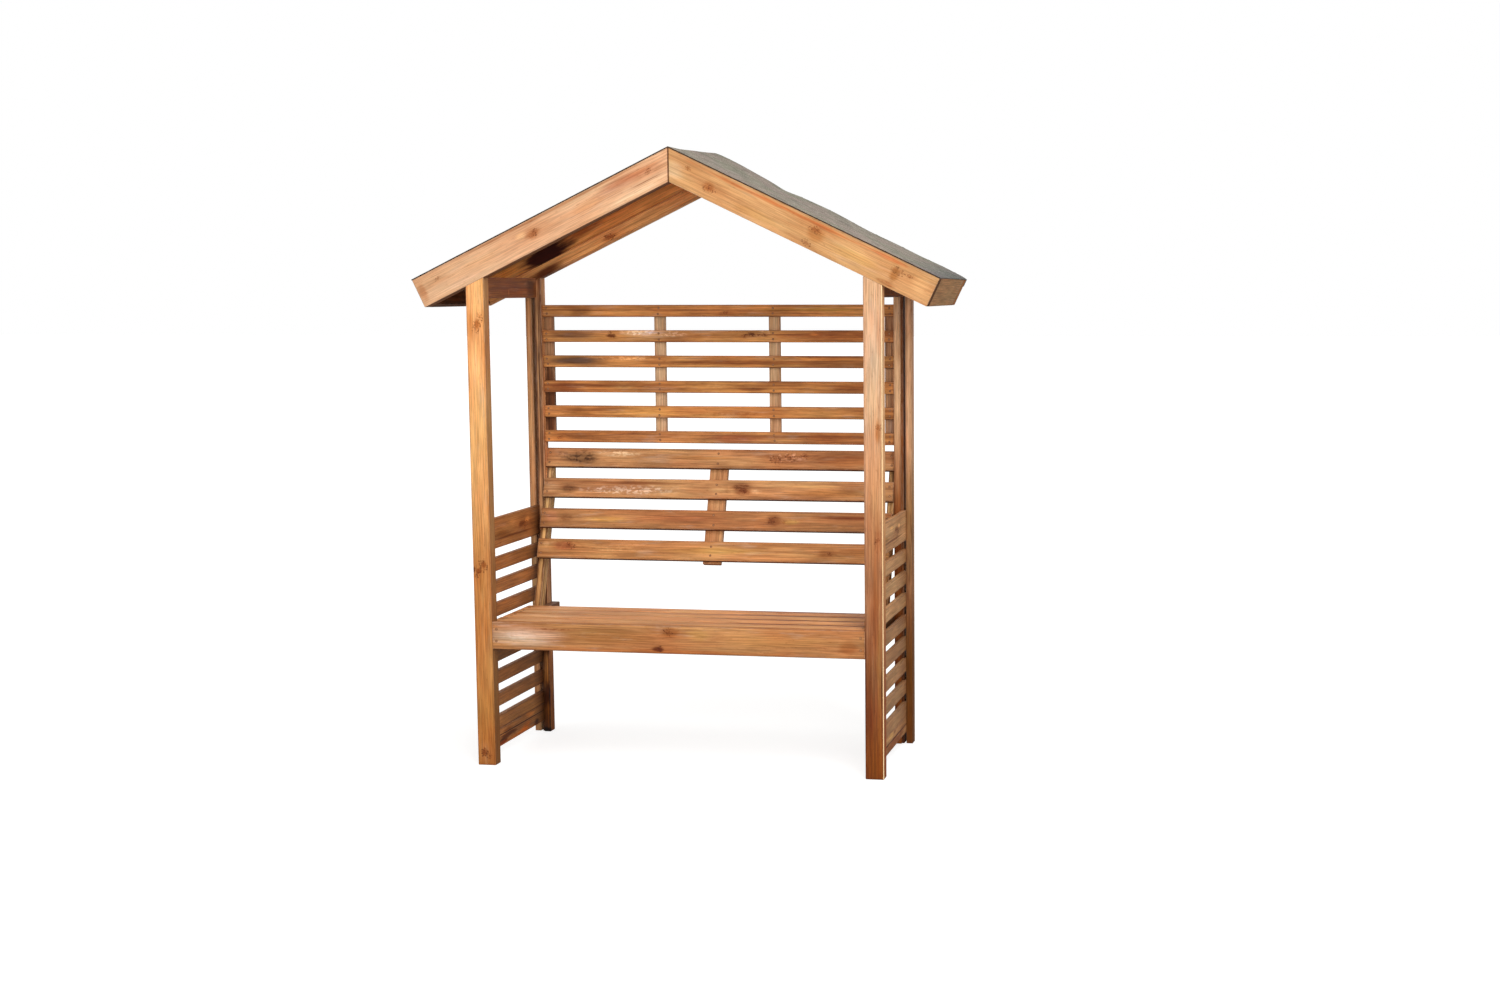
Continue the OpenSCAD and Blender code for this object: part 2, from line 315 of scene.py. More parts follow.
knot_effect, given, result = new_effect(
    "knot",
    {**on_board_inputs, "Radius": 0.008, "Stretch": 0.8, "Lean": 0.0, **{part: 0.0 for part in knot_parts}},
    {part: "number" for part in knot_parts},
)
t = knot_effect
along, across, _ = split(t, given["Place"])
finer = calc(t, "DIVIDE", 1.0, given["Radius"])
coarse = minus(t, cloud(t, given["Grain"], times(t, finer, 0.55), 3.0, 0.7), 0.5)
cracks = step(t, cloud(t, given["Grain"], times(t, finer, 1.8), 2.0), 0.5, 0.6)
off_across = minus(t, across, given["Across"])
off_along = times_plus(t, off_across, given["Lean"], minus(t, along, given["Along"]))
elsewhere = off_board(t, given)
round_off = vector_calc(t, "LENGTH", join(t, times(t, off_along, given["Stretch"]), off_across, 0.0))
distance = times_plus(t, coarse, 2.6, times_plus(t, round_off, finer, elsewhere))
heart = step(t, distance, 1.15, 0.3)
ring = times(t, step(t, distance, 1.5, 1.1), step(t, distance, 0.7, 1.0))
rim = calc(t, "MAXIMUM", times(t, ring, cracks), times(t, times(t, heart, cracks), 0.75))
long_off = vector_calc(t, "LENGTH", join(t, times(t, off_along, 0.36), off_across, 0.0))
near = times_plus(t, long_off, finer, elsewhere)
near_squared = times(t, near, near)
swell = calc(t, "EXPONENT", times(t, near_squared, -0.3))
halo = calc(t, "EXPONENT", times(t, near_squared, -0.14))
hand_out(t, result, swirl=plus(t, given["Swirl"], times(t, swell, given["Radius"])),
         heart=calc(t, "MAXIMUM", given["Heart"], heart), rim=calc(t, "MAXIMUM", given["Rim"], rim),
         halo=calc(t, "MAXIMUM", given["Halo"], halo))

# %% [markdown]
# ## Growth rings
# A board is a slice of a tree, and its figure is the tree's rings cut through. The shader measures how
# far each point is from the tree's centre, the pith, which lies outside most boards and runs at a
# slight angle to them. That one distance gives straight lines on a radial face, arches on a flat one
# and curved rings on a sawn end. A knot's swirl is added to the distance, so the rings part round it.

# %% Effect: growth rings
ring_effect, given, result = new_effect(
    "growth_rings",
    {"Place": nowhere, "Grain": nowhere, "Pith Across": 0.02, "Pith Through": 0.08, "Swirl": 0.0},
    {"Late Wood": "number", "Ring Tone": "number"},
)
ring_width = 0.0045
pith_tilt = 0.006
slow_wander = 0.003
ripple_wander = 0.0016
t = ring_effect
along, across, through = split(t, given["Place"])
slow = cloud(t, vector_calc(t, "MULTIPLY", given["Grain"], (1.6, 5, 5)), 1.0)
quick = cloud(t, vector_calc(t, "MULTIPLY", given["Grain"], (9, 60, 60)), 1.0)
bend = times(t, minus(t, slow, 0.5), slow_wander)
ripple = times(t, minus(t, quick, 0.5), ripple_wander)
side = minus(t, across, given["Pith Across"])
lean = times_plus(t, along, pith_tilt, given["Pith Through"])
radius = vector_calc(t, "LENGTH", join(t, side, minus(t, through, lean), 0.0))
bent = plus(t, plus(t, radius, bend), times_plus(t, given["Swirl"], 0.8, ripple))
turns = calc(t, "DIVIDE", bent, ring_width)
part = calc(t, "FRACT", turns)
late = times(t, step(t, part, 0.2, 0.85), step(t, part, 1.0, 0.88))
year = put(t, "ShaderNodeTexWhiteNoise", {1: calc(t, "FLOOR", turns)}, noise_dimensions="1D").outputs["Value"]
hand_out(t, result, late_wood=late, ring_tone=year)

# %% [markdown]
# ## Fibres, streaks and weather
# Between the rings, wood is a bundle of long fibres, and stain sinks in unevenly along them. Noises
# stretched along the grain give broad streaks, fine fibres and the patches where the stain took more
# or less. More of them turn the hue between straw and russet, bleach a few places to a dry beige, and
# leave the small dark flecks of resin.

# %% Effect: fibres and weather
def stretched(tree, grain, stretch, low, high, detail=2.0):
    """A noise drawn out along the grain, with its soft step from low to high."""
    place = vector_calc(tree, "MULTIPLY", grain, stretch)
    return step(tree, cloud(tree, place, 1.0, detail, 0.62), low, high)


fibre_parts = ("Streak", "Fibre", "Patch", "Hue", "Dry", "Fleck")
fibre_effect, given, result = new_effect(
    "fibres", {"Grain": nowhere, "Streak Width": 0.012}, {part: "number" for part in fibre_parts})
t = fibre_effect
finer = calc(t, "DIVIDE", 1.0, given["Streak Width"])
grain = given["Grain"]
hand_out(t, result, streak=stretched(t, grain, join(t, 1.3, finer, finer), 0.32, 0.68, 4.0),
         fibre=stretched(t, grain, (9, 330, 330), 0.28, 0.72),
         patch=stretched(t, grain, (4.2, 20, 20), 0.36, 0.64, 4.0),
         hue=stretched(t, grain, (3.1, 16, 16), 0.36, 0.64, 3.0),
         dry=stretched(t, grain, (7, 45, 45), 0.54, 0.7, 5.0),
         fleck=stretched(t, grain, (55, 190, 190), 0.6, 0.72))

# %% [markdown]
# ## Edges and ends
# The long edges of a planed board are the first to lose their stain, while the face beside them stays
# a little darker where stain pooled. Sawn ends drink more. The distance from a point to the board's
# nearest edge is known from its place and the board's size, so none of this needs any extra shape.

# %% Effect: edges and ends
edge_effect, given, result = new_effect(
    "edges",
    {"Place": nowhere, "Grain": nowhere, "Half Size": (1.0, 1.0, 1.0), "Width": 0.004, "Border Width": 0.008},
    {"Wear": "number", "Border": "number", "Near End": "number"},
)
t = edge_effect
inside = vector_calc(t, "SUBTRACT", given["Half Size"], vector_calc(t, "ABSOLUTE", given["Place"]))
from_end, from_side, from_face = split(t, inside)
long_edge = calc(t, "MAXIMUM", from_side, from_face)
end_edge = calc(t, "MAXIMUM", from_end, calc(t, "MINIMUM", from_side, from_face))
distance = calc(t, "MINIMUM", long_edge, end_edge)
bitten = cloud(t, vector_calc(t, "MULTIPLY", given["Grain"], (30, 160, 160)), 1.0, 2.0, 0.6)
worn_width = times(t, given["Width"], step(t, bitten, 0.35, 0.7, 0.2, 1.4))
soft_border = times(t, given["Border Width"], step(t, bitten, 0.3, 0.7, 0.7, 1.3))
hand_out(t, result, wear=step(t, distance, worn_width, 0.0), border=step(t, distance, soft_border, 0.001),
         near_end=step(t, from_end, 0.04, 0.0))

# %% [markdown]
# ## Stained timber
# One last group puts the layers together: pale early wood and deep late wood, streaks and patches of
# stain, knots, thirsty sawn ends, dark borders and worn edges. It also gives the roughness and the
# height that the bump needs.

# %% Effect: stained timber
amounts = {"Figure": 0.2, "Streaks": 0.5, "Patches": 0.5, "Hue Shift": 0.6, "Dryness": 0.35, "Worn": 0.35,
           "Pooled": 0.45, "Fine Grain": 1.0}
masks = ("Late Wood", "Ring Tone", *fibre_parts, "Heart", "Rim", "Halo", "Wear", "Border", "Near End", "End",
         "Board")
stain_effect, given, result = new_effect(
    "stained_timber",
    {"Pale": (1.0, 1.0, 1.0, 1.0), "Deep": (0.0, 0.0, 0.0, 1.0), **amounts, **{mask: 0.0 for mask in masks}},
    {"Color": "colour", "Roughness": "number", "Height": "number"},
)
t = stain_effect
ring_shade = times(t, given["Late Wood"], step(t, given["Ring Tone"], 0.0, 1.0, 0.4, 1.0))
ring_part = times(t, ring_shade, given["Figure"])
depth = plus(t, ring_part, times(t, given["Streak"], given["Streaks"]))
depth = plus(t, depth, times(t, given["Patch"], given["Patches"]))
depth = calc(t, "SUBTRACT", depth, 0.12, clamp=True)
wood = mix_colour(t, depth, given["Pale"], given["Deep"])
russet = tinted(t, 1.0, wood, (1.00, 0.80, 0.66))
straw = tinted(t, 1.0, wood, (1.04, 1.10, 1.00))
wood = mix_colour(t, given["Hue Shift"], wood, mix_colour(t, given["Hue"], straw, russet))
dry_tone = mix_colour(t, 0.5, given["Pale"], (0.60, 0.50, 0.42, 1.0))
wood = mix_colour(t, times(t, given["Dry"], given["Dryness"]), wood, dry_tone)
fine = times_plus(t, step(t, given["Fibre"], 0.0, 1.0, -0.24, 0.19), given["Fine Grain"], 1.0)
wood = shaded(t, wood, times(t, fine, step(t, given["Board"], 0.0, 1.0, 0.9, 1.08)))
for mask, share, tint in (("Halo", 0.5, (0.80, 0.62, 0.48)), ("Heart", 0.6, (0.72, 0.56, 0.44)),
                          ("Rim", 0.82, (0.28, 0.18, 0.13)), ("Fleck", 0.4, (0.6, 0.48, 0.4)),
                          ("End", 0.8, (0.62, 0.6, 0.6)), ("Near End", 0.3, (0.8, 0.74, 0.7)),
                          ("Border", given["Pooled"], (0.50, 0.38, 0.30))):
    wood = tinted(t, times(t, given[mask], share), wood, tint)
worn_tone = mix_colour(t, 0.45, given["Pale"], (0.70, 0.56, 0.45, 1.0))
wood = mix_colour(t, times(t, given["Wear"], given["Worn"]), wood, worn_tone)

# %% Its roughness and its height
gloss = minus(t, 0.66, times(t, depth, 0.14))
gloss = plus(t, gloss, times(t, given["Dry"], 0.12))
gloss = calc(t, "ADD", gloss, times(t, given["End"], 0.2), clamp=True)
height = plus(t, times(t, given["Fibre"], 0.0003), times(t, ring_part, 0.0003))
height = minus(t, height, times(t, given["Rim"], 0.0006))
height = plus(t, height, times(t, given["Heart"], 0.0004))
height = minus(t, height, times(t, given["Fleck"], 0.0003))
hand_out(t, result, color=wood, roughness=gloss, height=height)
print("effects:", [group.name for group in bpy.data.node_groups])

# %% [markdown]
# ## Marks along a board
# Stain runs, handling marks, a darker band beside an edge or a paler place where the timber lay in the
# sun are all soft patches with ragged edges. Each one is an ellipse in the board's own coordinates,
# and a very long ellipse is a band. Speckle breaks it up into the small rough spots that a blunt
# plane leaves.

# %% Effect: one mark
mark_effect, given, result = new_effect(
    "mark",
    {**on_board_inputs, "Half Length": 0.1, "Half Width": 0.02, "Softness": 0.5, "Ragged": 0.6,
     "Speckle": 0.0},
    {"Mask": "number"},
)
t = mark_effect
along, across, _ = split(t, given["Place"])
long_part = calc(t, "DIVIDE", minus(t, along, given["Along"]), given["Half Length"])
wide_part = calc(t, "DIVIDE", minus(t, across, given["Across"]), given["Half Width"])
distance = vector_calc(t, "LENGTH", join(t, long_part, wide_part, 0.0))
torn = cloud(t, vector_calc(t, "MULTIPLY", given["Grain"], (9, 60, 60)), 1.0, 3.0, 0.6)
distance = plus(t, distance, times(t, minus(t, torn, 0.5), given["Ragged"]))
distance = plus(t, off_board(t, given), distance)
mask = step(t, distance, 1.0, minus(t, 1.0, given["Softness"]))
spots = stretched(t, given["Grain"], (65, 115, 115), 0.47, 0.58)
kept = minus(t, 1.0, times(t, given["Speckle"], minus(t, 1.0, spots)))
hand_out(t, result, mask=times(t, mask, kept))

# %% [markdown]
# ## Measuring the boards
# The grain runs along a board's longest edge. The frame's timbers arrive as plain shapes, so each one
# is measured: which way its grain runs, where its middle is, and how long, wide and thick it is.

# %% Helpers: measuring
def reach(points, axis):
    """The lowest and highest of the points along an axis."""
    values = [point.dot(axis) for point in points]
    return min(values), max(values)


def forward(direction):
    """The same direction, or its opposite where its largest part is negative."""
    largest = max(direction, key=abs)
    return direction.normalized() if largest > 0 else -direction.normalized()


def loose_parts(shape):
    """The corners of each separate board in a shape."""
    left, parts = set(shape.verts), []
    for start in shape.verts:
        if start not in left:
            continue
        left.discard(start)
        part, waiting = [], [start]
        while waiting:
            vert = waiting.pop()
            part.append(vert.co.copy())
            joined = [edge.other_vert(vert) for edge in vert.link_edges]
            joined = [other for other in joined if other in left]
            left.difference_update(joined)
            waiting.extend(joined)
        parts.append(part)
    return parts


# %% Measure a board
same_place = 1e-5
sharp_edge = 0.3
square_enough = 0.02
no_neighbour = 10.0


class Board:
    """A timber's own axes, middle, half sizes and spacing. A mirrored one has a like one on the left."""

    def __init__(self, mesh, mirrored=False):
        shape = bmesh.new()
        shape.from_mesh(mesh)
        edges = [edge for edge in shape.edges
                 if len(edge.link_faces) == 1 or edge.calc_face_angle(0.0) > sharp_edge]
        edges = [edge.verts[1].co - edge.verts[0].co for edge in edges]
        bmesh.ops.remove_doubles(shape, verts=shape.verts, dist=same_place)
        parts = loose_parts(shape)
        shape.free()
        if mirrored:
            # Only edges that are level or fall to the right belong to the right-hand one.
            edges = [edge for edge in edges if edge.x * edge.z <= 1e-9]
            parts = [part for part in parts if min(point.x for point in part) >= 0][:1]
        points = [point for part in parts for point in part]
        self.mirrored = mirrored
        self.grain = forward(max(edges, key=lambda edge: edge.length))
        self.across = self.widest(points, edges)
        self.through = self.grain.cross(self.across)
        self.axes = (self.grain, self.across, self.through)
        self.middle = sum((axis * sum(reach(points, axis)) / 2 for axis in self.axes), Vector())
        sizes = [reach(parts[0], axis) for axis in self.axes]
        self.half = Vector([(high - low) / 2 for low, high in sizes])
        places = sorted(sum(reach(part, self.across)) / 2 for part in parts)
        self.count = len(parts)
        self.first = places[0] - self.middle.dot(self.across)
        self.spacing = (places[-1] - places[0]) / (self.count - 1) if self.count > 1 else no_neighbour

    def widest(self, points, edges):
        """The direction square to the grain in which the points reach farthest."""
        square = [edge for edge in edges if abs(edge.normalized().dot(self.grain)) < square_enough]
        across = forward(max(square, key=lambda edge: edge.length))
        other = forward(self.grain.cross(across))
        low, high = reach(points, across)
        other_low, other_high = reach(points, other)
        return other if other_high - other_low > high - low else across

    def local(self, point):
        """A point of the frame, as the number of its board, and its place along and across that one."""
        offset = Vector(point) - self.middle
        across = offset.dot(self.across) - self.first
        number = round(across / self.spacing)
        across -= number * self.spacing
        return {"On": float(number), "Along": offset.dot(self.grain), "Across": across}

    def heights(self):
        """The height of each board's middle, from the lowest to the highest."""
        lowest = self.middle.dot(self.across) + self.first
        return [lowest + number * self.spacing for number in range(self.count)]


# %% [markdown]
# ## The finish of one timber
# Each timber has its own material, because each one is its own plank, with its own knots and its own
# share of stain. The material only sets its values and strings the effects together. A slightly
# glossy, slightly rough surface with a fine bump is right for a planed and dipped softwood.
#
# A knot is written as x, y, z and radius. A patch is written as its place, its half length and half
# width in millimetres, and a tint: how much lighter or darker each part of the colour is there, on the
# paint chart's scale. A joint is a plane across x where dirt and shade gather in a mitre. The lower
# faces and edges of slats and beams get painted shade, as no light comes from below.

# %% Helpers: knots and patches
chart_curve = 2.2


def patch(place, half_length, half_width, tint, soft=0.7, ragged=0.8, speckle=0.0):
    """A mark on a board, in the words that its effect uses, with its tint."""
    words = {"Half Length": half_length / 1000, "Half Width": half_width / 1000, "Softness": soft,
             "Ragged": ragged, "Speckle": speckle}
    return place, words, tuple(value ** chart_curve for value in tint)


def front_patches(y, *rows):
    """Patches on a face that looks to the front, at y. Each row gives x and z, then the patch."""
    return [patch((x, y, z), *rest) for x, z, *rest in rows]


def side_patches(x, *rows):
    """Patches on a face that looks to the side, at x. Each row gives y and z, then the patch."""
    return [patch((x, y, z), *rest) for y, z, *rest in rows]


def front_knots(y, *rows):
    """Knots on a face that looks to the front, at y. Each row gives x, z and radius."""
    return [(x, y, z, radius) for x, z, radius in rows]


# %% Helpers: stain and surface
def stain(red, green, blue):
    """A colour written as on a paint chart, 0 to 255, as the shader wants it."""
    parts = [value / 255 for value in (red, green, blue)]
    return tuple(v / 12.92 if v <= 0.04045 else ((v + 0.055) / 1.055) ** 2.4 for v in parts) + (1.0,)


def dress(tree, shader, colour, roughness, height, distance, strength):
    """Strings a colour, a roughness and a bump to a shader."""
    tree.links.new(colour, shader.inputs["Base Color"])
    tree.links.new(roughness, shader.inputs["Roughness"])
    bump = put(tree, "ShaderNodeBump", {"Height": height, "Distance": distance, "Strength": strength})
    tree.links.new(bump.outputs[0], shader.inputs["Normal"])


def chosen(outputs, *names):
    """Some of an effect's outputs, as the inputs of the next one."""
    return {name: outputs[name] for name in names}


# %% Helpers: the layers of a timber's finish
def place_in_board(tree, board, position, seed):
    """Each point's place in its own board."""
    if board.mirrored:
        x, y, z = split(tree, position)
        position = join(tree, calc(tree, "ABSOLUTE", x), y, z)
    turned = Matrix(board.axes).transposed().to_euler()
    mapping = put(tree, "ShaderNodeMapping", {0: position, 1: board.middle, 2: turned}, vector_type="TEXTURE")
    values = {"Position": mapping.outputs[0], "Spacing": board.spacing, "First": board.first, "Seed": seed}
    return use_effect(tree, board_place, values)


def add_knots(tree, board, placed, knots, chance):
    """All of a board's knots. Each one takes up the ones before it."""
    knot = dict.fromkeys(knot_parts, 0.0)
    for *point, radius in knots:
        own_shape = {"Stretch": chance.uniform(0.5, 0.95), "Lean": chance.uniform(-0.7, 0.7)}
        knot = use_effect(tree, knot_effect, {
            **chosen(placed, "Place", "Grain", "Number"), **board.local(point), "Radius": radius, **own_shape,
            **chosen(knot, *knot_parts)})
    return knot


def add_shade(tree, colour, normal, under_tint, side_tint, corner_tone):
    """Painted shade on lower faces, a painted lighter or darker tone on right faces, a painted highlight on
    the front-right corner.
    """
    to_right, to_rear, up = split(tree, normal)
    # painted shade on faces that look down
    if under_tint:
        colour = tinted(tree, step(tree, up, -0.12, -0.5), colour, under_tint)
    # painted light on faces that look to the right, lighter or darker as the tint says
    if side_tint:
        colour = tinted(tree, step(tree, to_right, 0.5, 0.9), colour, side_tint)
    # a painted highlight on the corner between the front and the right face
    if corner_tone:
        corner = step(tree, times(tree, to_right, times(tree, to_rear, -1.0)), 0.1, 0.3)
        colour = mix_colour(tree, times(tree, corner, 0.95), colour, stain(*corner_tone))
    return colour


# %% Make a timber's finish
mitre_tint = (0.22, 0.15, 0.11)


def wood_material(name, board, pale, deep, knots=(), marks=(), low_tint=None, low_range=(0.0, 1.0),
                  under_tint=None, side_tint=None, corner_tone=None, joint=None, streak_width=0.012,
                  pith=(0.012, 0.09), worn_edge=0.0035, border=0.008, **shares):
    """A plank's own material. The low tint is painted shade at the low end of its grain, its lower or left
    part, fading out over the low range; a reversed range puts it at the high end.
    """
    seed = float(sum(ord(letter) * (place + 3) for place, letter in enumerate(name)) % 977)
    material, tree, shader, coordinates = new_finish(name)
    placed = place_in_board(tree, board, coordinates["Object"], seed)
    where = chosen(placed, "Place", "Grain")
    knot = add_knots(tree, board, placed, knots, random.Random(int(seed)))
    rings = use_effect(tree, ring_effect, {
        **where, "Pith Across": pith[0], "Pith Through": pith[1], "Swirl": knot["Swirl"]})
    fibres = use_effect(tree, fibre_effect, {"Grain": placed["Grain"], "Streak Width": streak_width})
    edges = use_effect(tree, edge_effect, {
        **where, "Half Size": board.half, "Width": worn_edge, "Border Width": border})
    along_grain = calc(tree, "ABSOLUTE", vector_calc(tree, "DOT_PRODUCT", coordinates["Normal"], board.grain))
    sawn = 0.0 if board.mirrored else step(tree, along_grain, 0.6, 0.85)
    stained = use_effect(tree, stain_effect, {
        "Pale": stain(*pale), "Deep": stain(*deep), "End": sawn, "Board": placed["Board"],
        **chosen(rings, "Late Wood", "Ring Tone"), **chosen(fibres, *fibre_parts),
        **chosen(knot, "Heart", "Rim", "Halo"), **chosen(edges, "Wear", "Border", "Near End"), **shares})
    colour = stained["Color"]
    # painted shade at the low end of the grain
    if low_tint:
        low, high = (board.half.x * (2 * part - 1) for part in low_range)
        risen = step(tree, split(tree, placed["Place"])[0], low, high)
        colour = mix_colour(tree, risen, tinted(tree, 1.0, colour, low_tint), colour)
    colour = add_shade(tree, colour, coordinates["Normal"], under_tint, side_tint, corner_tone)
    for place, words, tint in marks:
        values = {**where, "Number": placed["Number"], **board.local(place), **words}
        colour = tinted(tree, use_effect(tree, mark_effect, values)["Mask"], colour, tint)
    if joint is not None:
        from_joint = calc(tree, "ABSOLUTE", minus(tree, split(tree, coordinates["Object"])[0], joint))
        colour = tinted(tree, step(tree, from_joint, 0.0034, 0.0016), colour, mitre_tint)
    shader.inputs["Specular IOR Level"].default_value = 0.18
    dress(tree, shader, colour, stained["Roughness"], stained["Height"], 1.0, 0.6)
    return material


# %% Helpers: finishing a timber of the frame
boards = {}
usual_easing = 0.0018


def ease_edges(piece, width):
    """Rounds a piece's sawn edges a little."""
    weld = piece.modifiers.new("weld", "WELD")
    weld.merge_threshold = same_place
    bevel = piece.modifiers.new("eased_edges", "BEVEL")
    bevel.width = width
    bevel.segments = 2
    bevel.limit_method = "ANGLE"
    bevel.angle_limit = math.radians(30)


def finish_timber(node, pale, deep, mirrored=False, eased=usual_easing, **details):
    """Gives a timber of the frame its own wood and its eased edges."""
    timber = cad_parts[node]
    boards[node] = Board(timber.data, mirrored)
    timber.material_slots[0].material = wood_material("wood_" + node, boards[node], pale, deep, **details)
    ease_edges(timber, eased)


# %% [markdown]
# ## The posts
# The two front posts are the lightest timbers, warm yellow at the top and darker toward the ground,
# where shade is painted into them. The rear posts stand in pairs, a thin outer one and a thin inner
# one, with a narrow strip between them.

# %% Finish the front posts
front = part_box("front_post_left")[0].y
# Painted shade darkens the left post toward its foot and on its right face.
finish_timber(
    "front_post_left", (246, 188, 128), (222, 156, 92), Figure=0.1, streak_width=0.016,
    side_tint=(0.56, 0.58, 0.64), low_tint=(0.52, 0.39, 0.23), low_range=(0.02, 0.98),
    knots=front_knots(
        front, (-0.640, 1.432, 0.011), (-0.629, 1.458, 0.007), (-0.638, 0.656, 0.013), (-0.658, 0.640, 0.010),
        (-0.652, 0.042, 0.011), (-0.636, 0.030, 0.007)),
    marks=front_patches(
        front,
        (-0.66, 1.43, 60, 12, (0.92, 0.86, 0.78)),
        (-0.672, 0.645, 14, 6, (0.6, 0.5, 0.4)),
        (-0.640, 0.662, 14, 9, (0.84, 0.76, 0.68), 0.5, 1.5),
        (-0.656, 0.640, 9, 12, (0.84, 0.76, 0.68), 0.5, 1.5),
        (-0.650, 0.042, 13, 18, (0.84, 0.78, 0.72), 0.5, 1.6),
        (-0.640, 1.435, 18, 12, (0.88, 0.80, 0.70), 0.5, 1.5),
        (-0.65, 0.04, 50, 30, (1.06, 1.10, 1.26)),
        (-0.65, 0.62, 60, 14, (0.94, 0.90, 0.84))))
# The right post gets painted shade toward its foot, painted light on its right face and a painted highlight
# on its front-right corner.
finish_timber(
    "front_post_right", (225, 184, 149), (200, 146, 106), Figure=0.14, streak_width=0.006, eased=0.0026,
    side_tint=(1.5, 1.36, 1.12), corner_tone=(255, 220, 168), low_tint=(0.30, 0.118, 0.014),
    low_range=(0.0, 0.88), knots=front_knots(front, (0.656, 0.761, 0.007), (0.664, 1.115, 0.008)),
    marks=front_patches(
        front,
        (0.66, 1.10, 50, 12, (0.92, 0.82, 0.7)),
        (0.65, 0.78, 520, 40, (1.0, 0.94, 0.84), 0.9),
        (0.65, 0.5, 260, 14, (0.95, 0.88, 0.78)),
        (0.65, 1.36, 200, 60, (0.96, 1.0, 1.04), 0.9),
        (0.618, 0.3, 320, 5, (0.78, 0.66, 0.54)),
        (0.630, 0.26, 340, 15, (0.90, 0.80, 0.68), 0.7),
        (0.662, 0.30, 340, 11, (1.13, 1.24, 1.14), 0.8),
        (0.668, 0.30, 120, 3, (0.76, 0.76, 0.7), 0.6, 1.6)))

# %% Finish the rear posts
rear_post_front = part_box("rear_inner_post_left")[0].y
left_tones = ((224, 162, 114), (104, 66, 41))
right_tones = ((230, 180, 140), (172, 122, 86))
finish_timber("rear_outer_post_left", (214, 162, 114), (160, 110, 70), streak_width=0.006)
# The inner posts and the right outer post get painted shade toward their feet; the left inner post also gets
# painted light on its right face.
finish_timber(
    "rear_inner_post_left", *left_tones, low_tint=(0.38, 0.255, 0.085), low_range=(0.04, 0.36),
    side_tint=(1.7, 1.65, 1.6), streak_width=0.006, Streaks=0.9,
    marks=front_patches(
        rear_post_front,
        (-0.636, 0.0, 22, 17, (0.34, 0.30, 0.26), 0.6),
        (-0.618, 0.21, 190, 6, (1.35, 1.42, 1.3), 0.6, 0.8),
        (-0.634, 0.30, 46, 7, (0.5, 0.42, 0.34), 0.6, 1.4),
        (-0.634, 0.13, 60, 6, (0.55, 0.46, 0.36), 0.6, 1.4)))
finish_timber(
    "rear_outer_post_right", *right_tones, low_tint=(0.27, 0.165, 0.03), low_range=(0.16, 0.62),
    streak_width=0.006, marks=front_patches(rear_post_front, (0.675, 0.77, 330, 60, (0.73, 0.69, 0.59), 0.9)))
finish_timber(
    "rear_inner_post_right", *right_tones, low_tint=(0.45, 0.22, 0.05), low_range=(0.46, 0.78),
    streak_width=0.006, marks=front_patches(rear_post_front, (0.63, 1.22, 300, 60, (1.13, 1.15, 1.15), 0.9)))
# The strips' dark tones, darkest on the left, are painted shade of the narrow recess between the posts, and
# their low tint adds painted shade toward the feet.
strip_tones = {"left": ((116, 70, 36), (76, 42, 22)), "right": ((150, 90, 42), (106, 62, 27))}
for side_name, tones in strip_tones.items():
    finish_timber(
        "rear_post_strip_" + side_name, *tones, low_tint=(0.4, 0.3, 0.24), low_range=(0.0, 0.5), eased=0.001)

# %% [markdown]
# ## The slatted sides
# Each side has a wide board on top, eight narrow slats below it and a bottom board. They are thinner
# and darker than the posts, with bolder figure. High above them a rail joins the front post to the
# rear ones.

# %% Tones of the sides
sides = (("left", -1), ("right", 1))
# Painted shade for the lower faces of boards and beams, where no light comes from below.
underside_painted_shade = (0.34, 0.27, 0.22)
# The left side's darker tones are painted shade on its inner faces, under the roof.
side_tones = {"left": ((186, 125, 72), (128, 82, 46)), "right": ((236, 184, 132), (172, 121, 80))}
# Painted shade toward the rear posts: deep on the left side's inner faces, lighter on the right side.
rear_shade = {
    "left": {"low_tint": (0.2, 0.14, 0.10), "low_range": (0.95, 0.68)},
    "right": {"low_tint": (0.68, 0.60, 0.54), "low_range": (0.95, 0.44)},
}
calm_grain = {"Hue Shift": 0.4, "Streaks": 0.4, "Figure": 0.16, "Dryness": 0.2, "Fine Grain": 0.8}
# On the right, the lowest five slats get painted shade.
slats_with_painted_shade = {"left": 0, "right": 5}
joint_share = {"left": 0.62, "right": 0.48}
bottom_marks = {
    "left": [
        (0.06, 0.30, 70, 20, (1.20, 1.04, 0.84)), (-0.10, 0.44, 110, 14, (0.55, 0.45, 0.36)),
        (0.0, 0.10, 200, 12, (1.12, 0.98, 0.8)), (0.16, 0.22, 40, 18, (0.5, 0.42, 0.36)),
        (0.10, 0.84, 60, 12, (1.22, 1.14, 1.0)), (-0.12, 0.72, 70, 10, (0.8, 0.72, 0.62)),
        (-0.16, 0.20, 50, 12, (0.6, 0.5, 0.4)), (-0.17, 0.08, 70, 9, (1.16, 0.98, 0.8)),
    ],
    "right": [
        (-0.04, 0.78, 70, 14, (1.12, 1.16, 1.04)), (0.0, 0.22, 260, 30, (0.74, 0.62, 0.54)),
        # the last patch is painted shade over the whole board
        (0.02, 0.80, 30, 8, (0.8, 0.74, 0.66)), (0.0, 0.5, 400, 90, (0.90, 0.86, 0.84)),
    ],
}

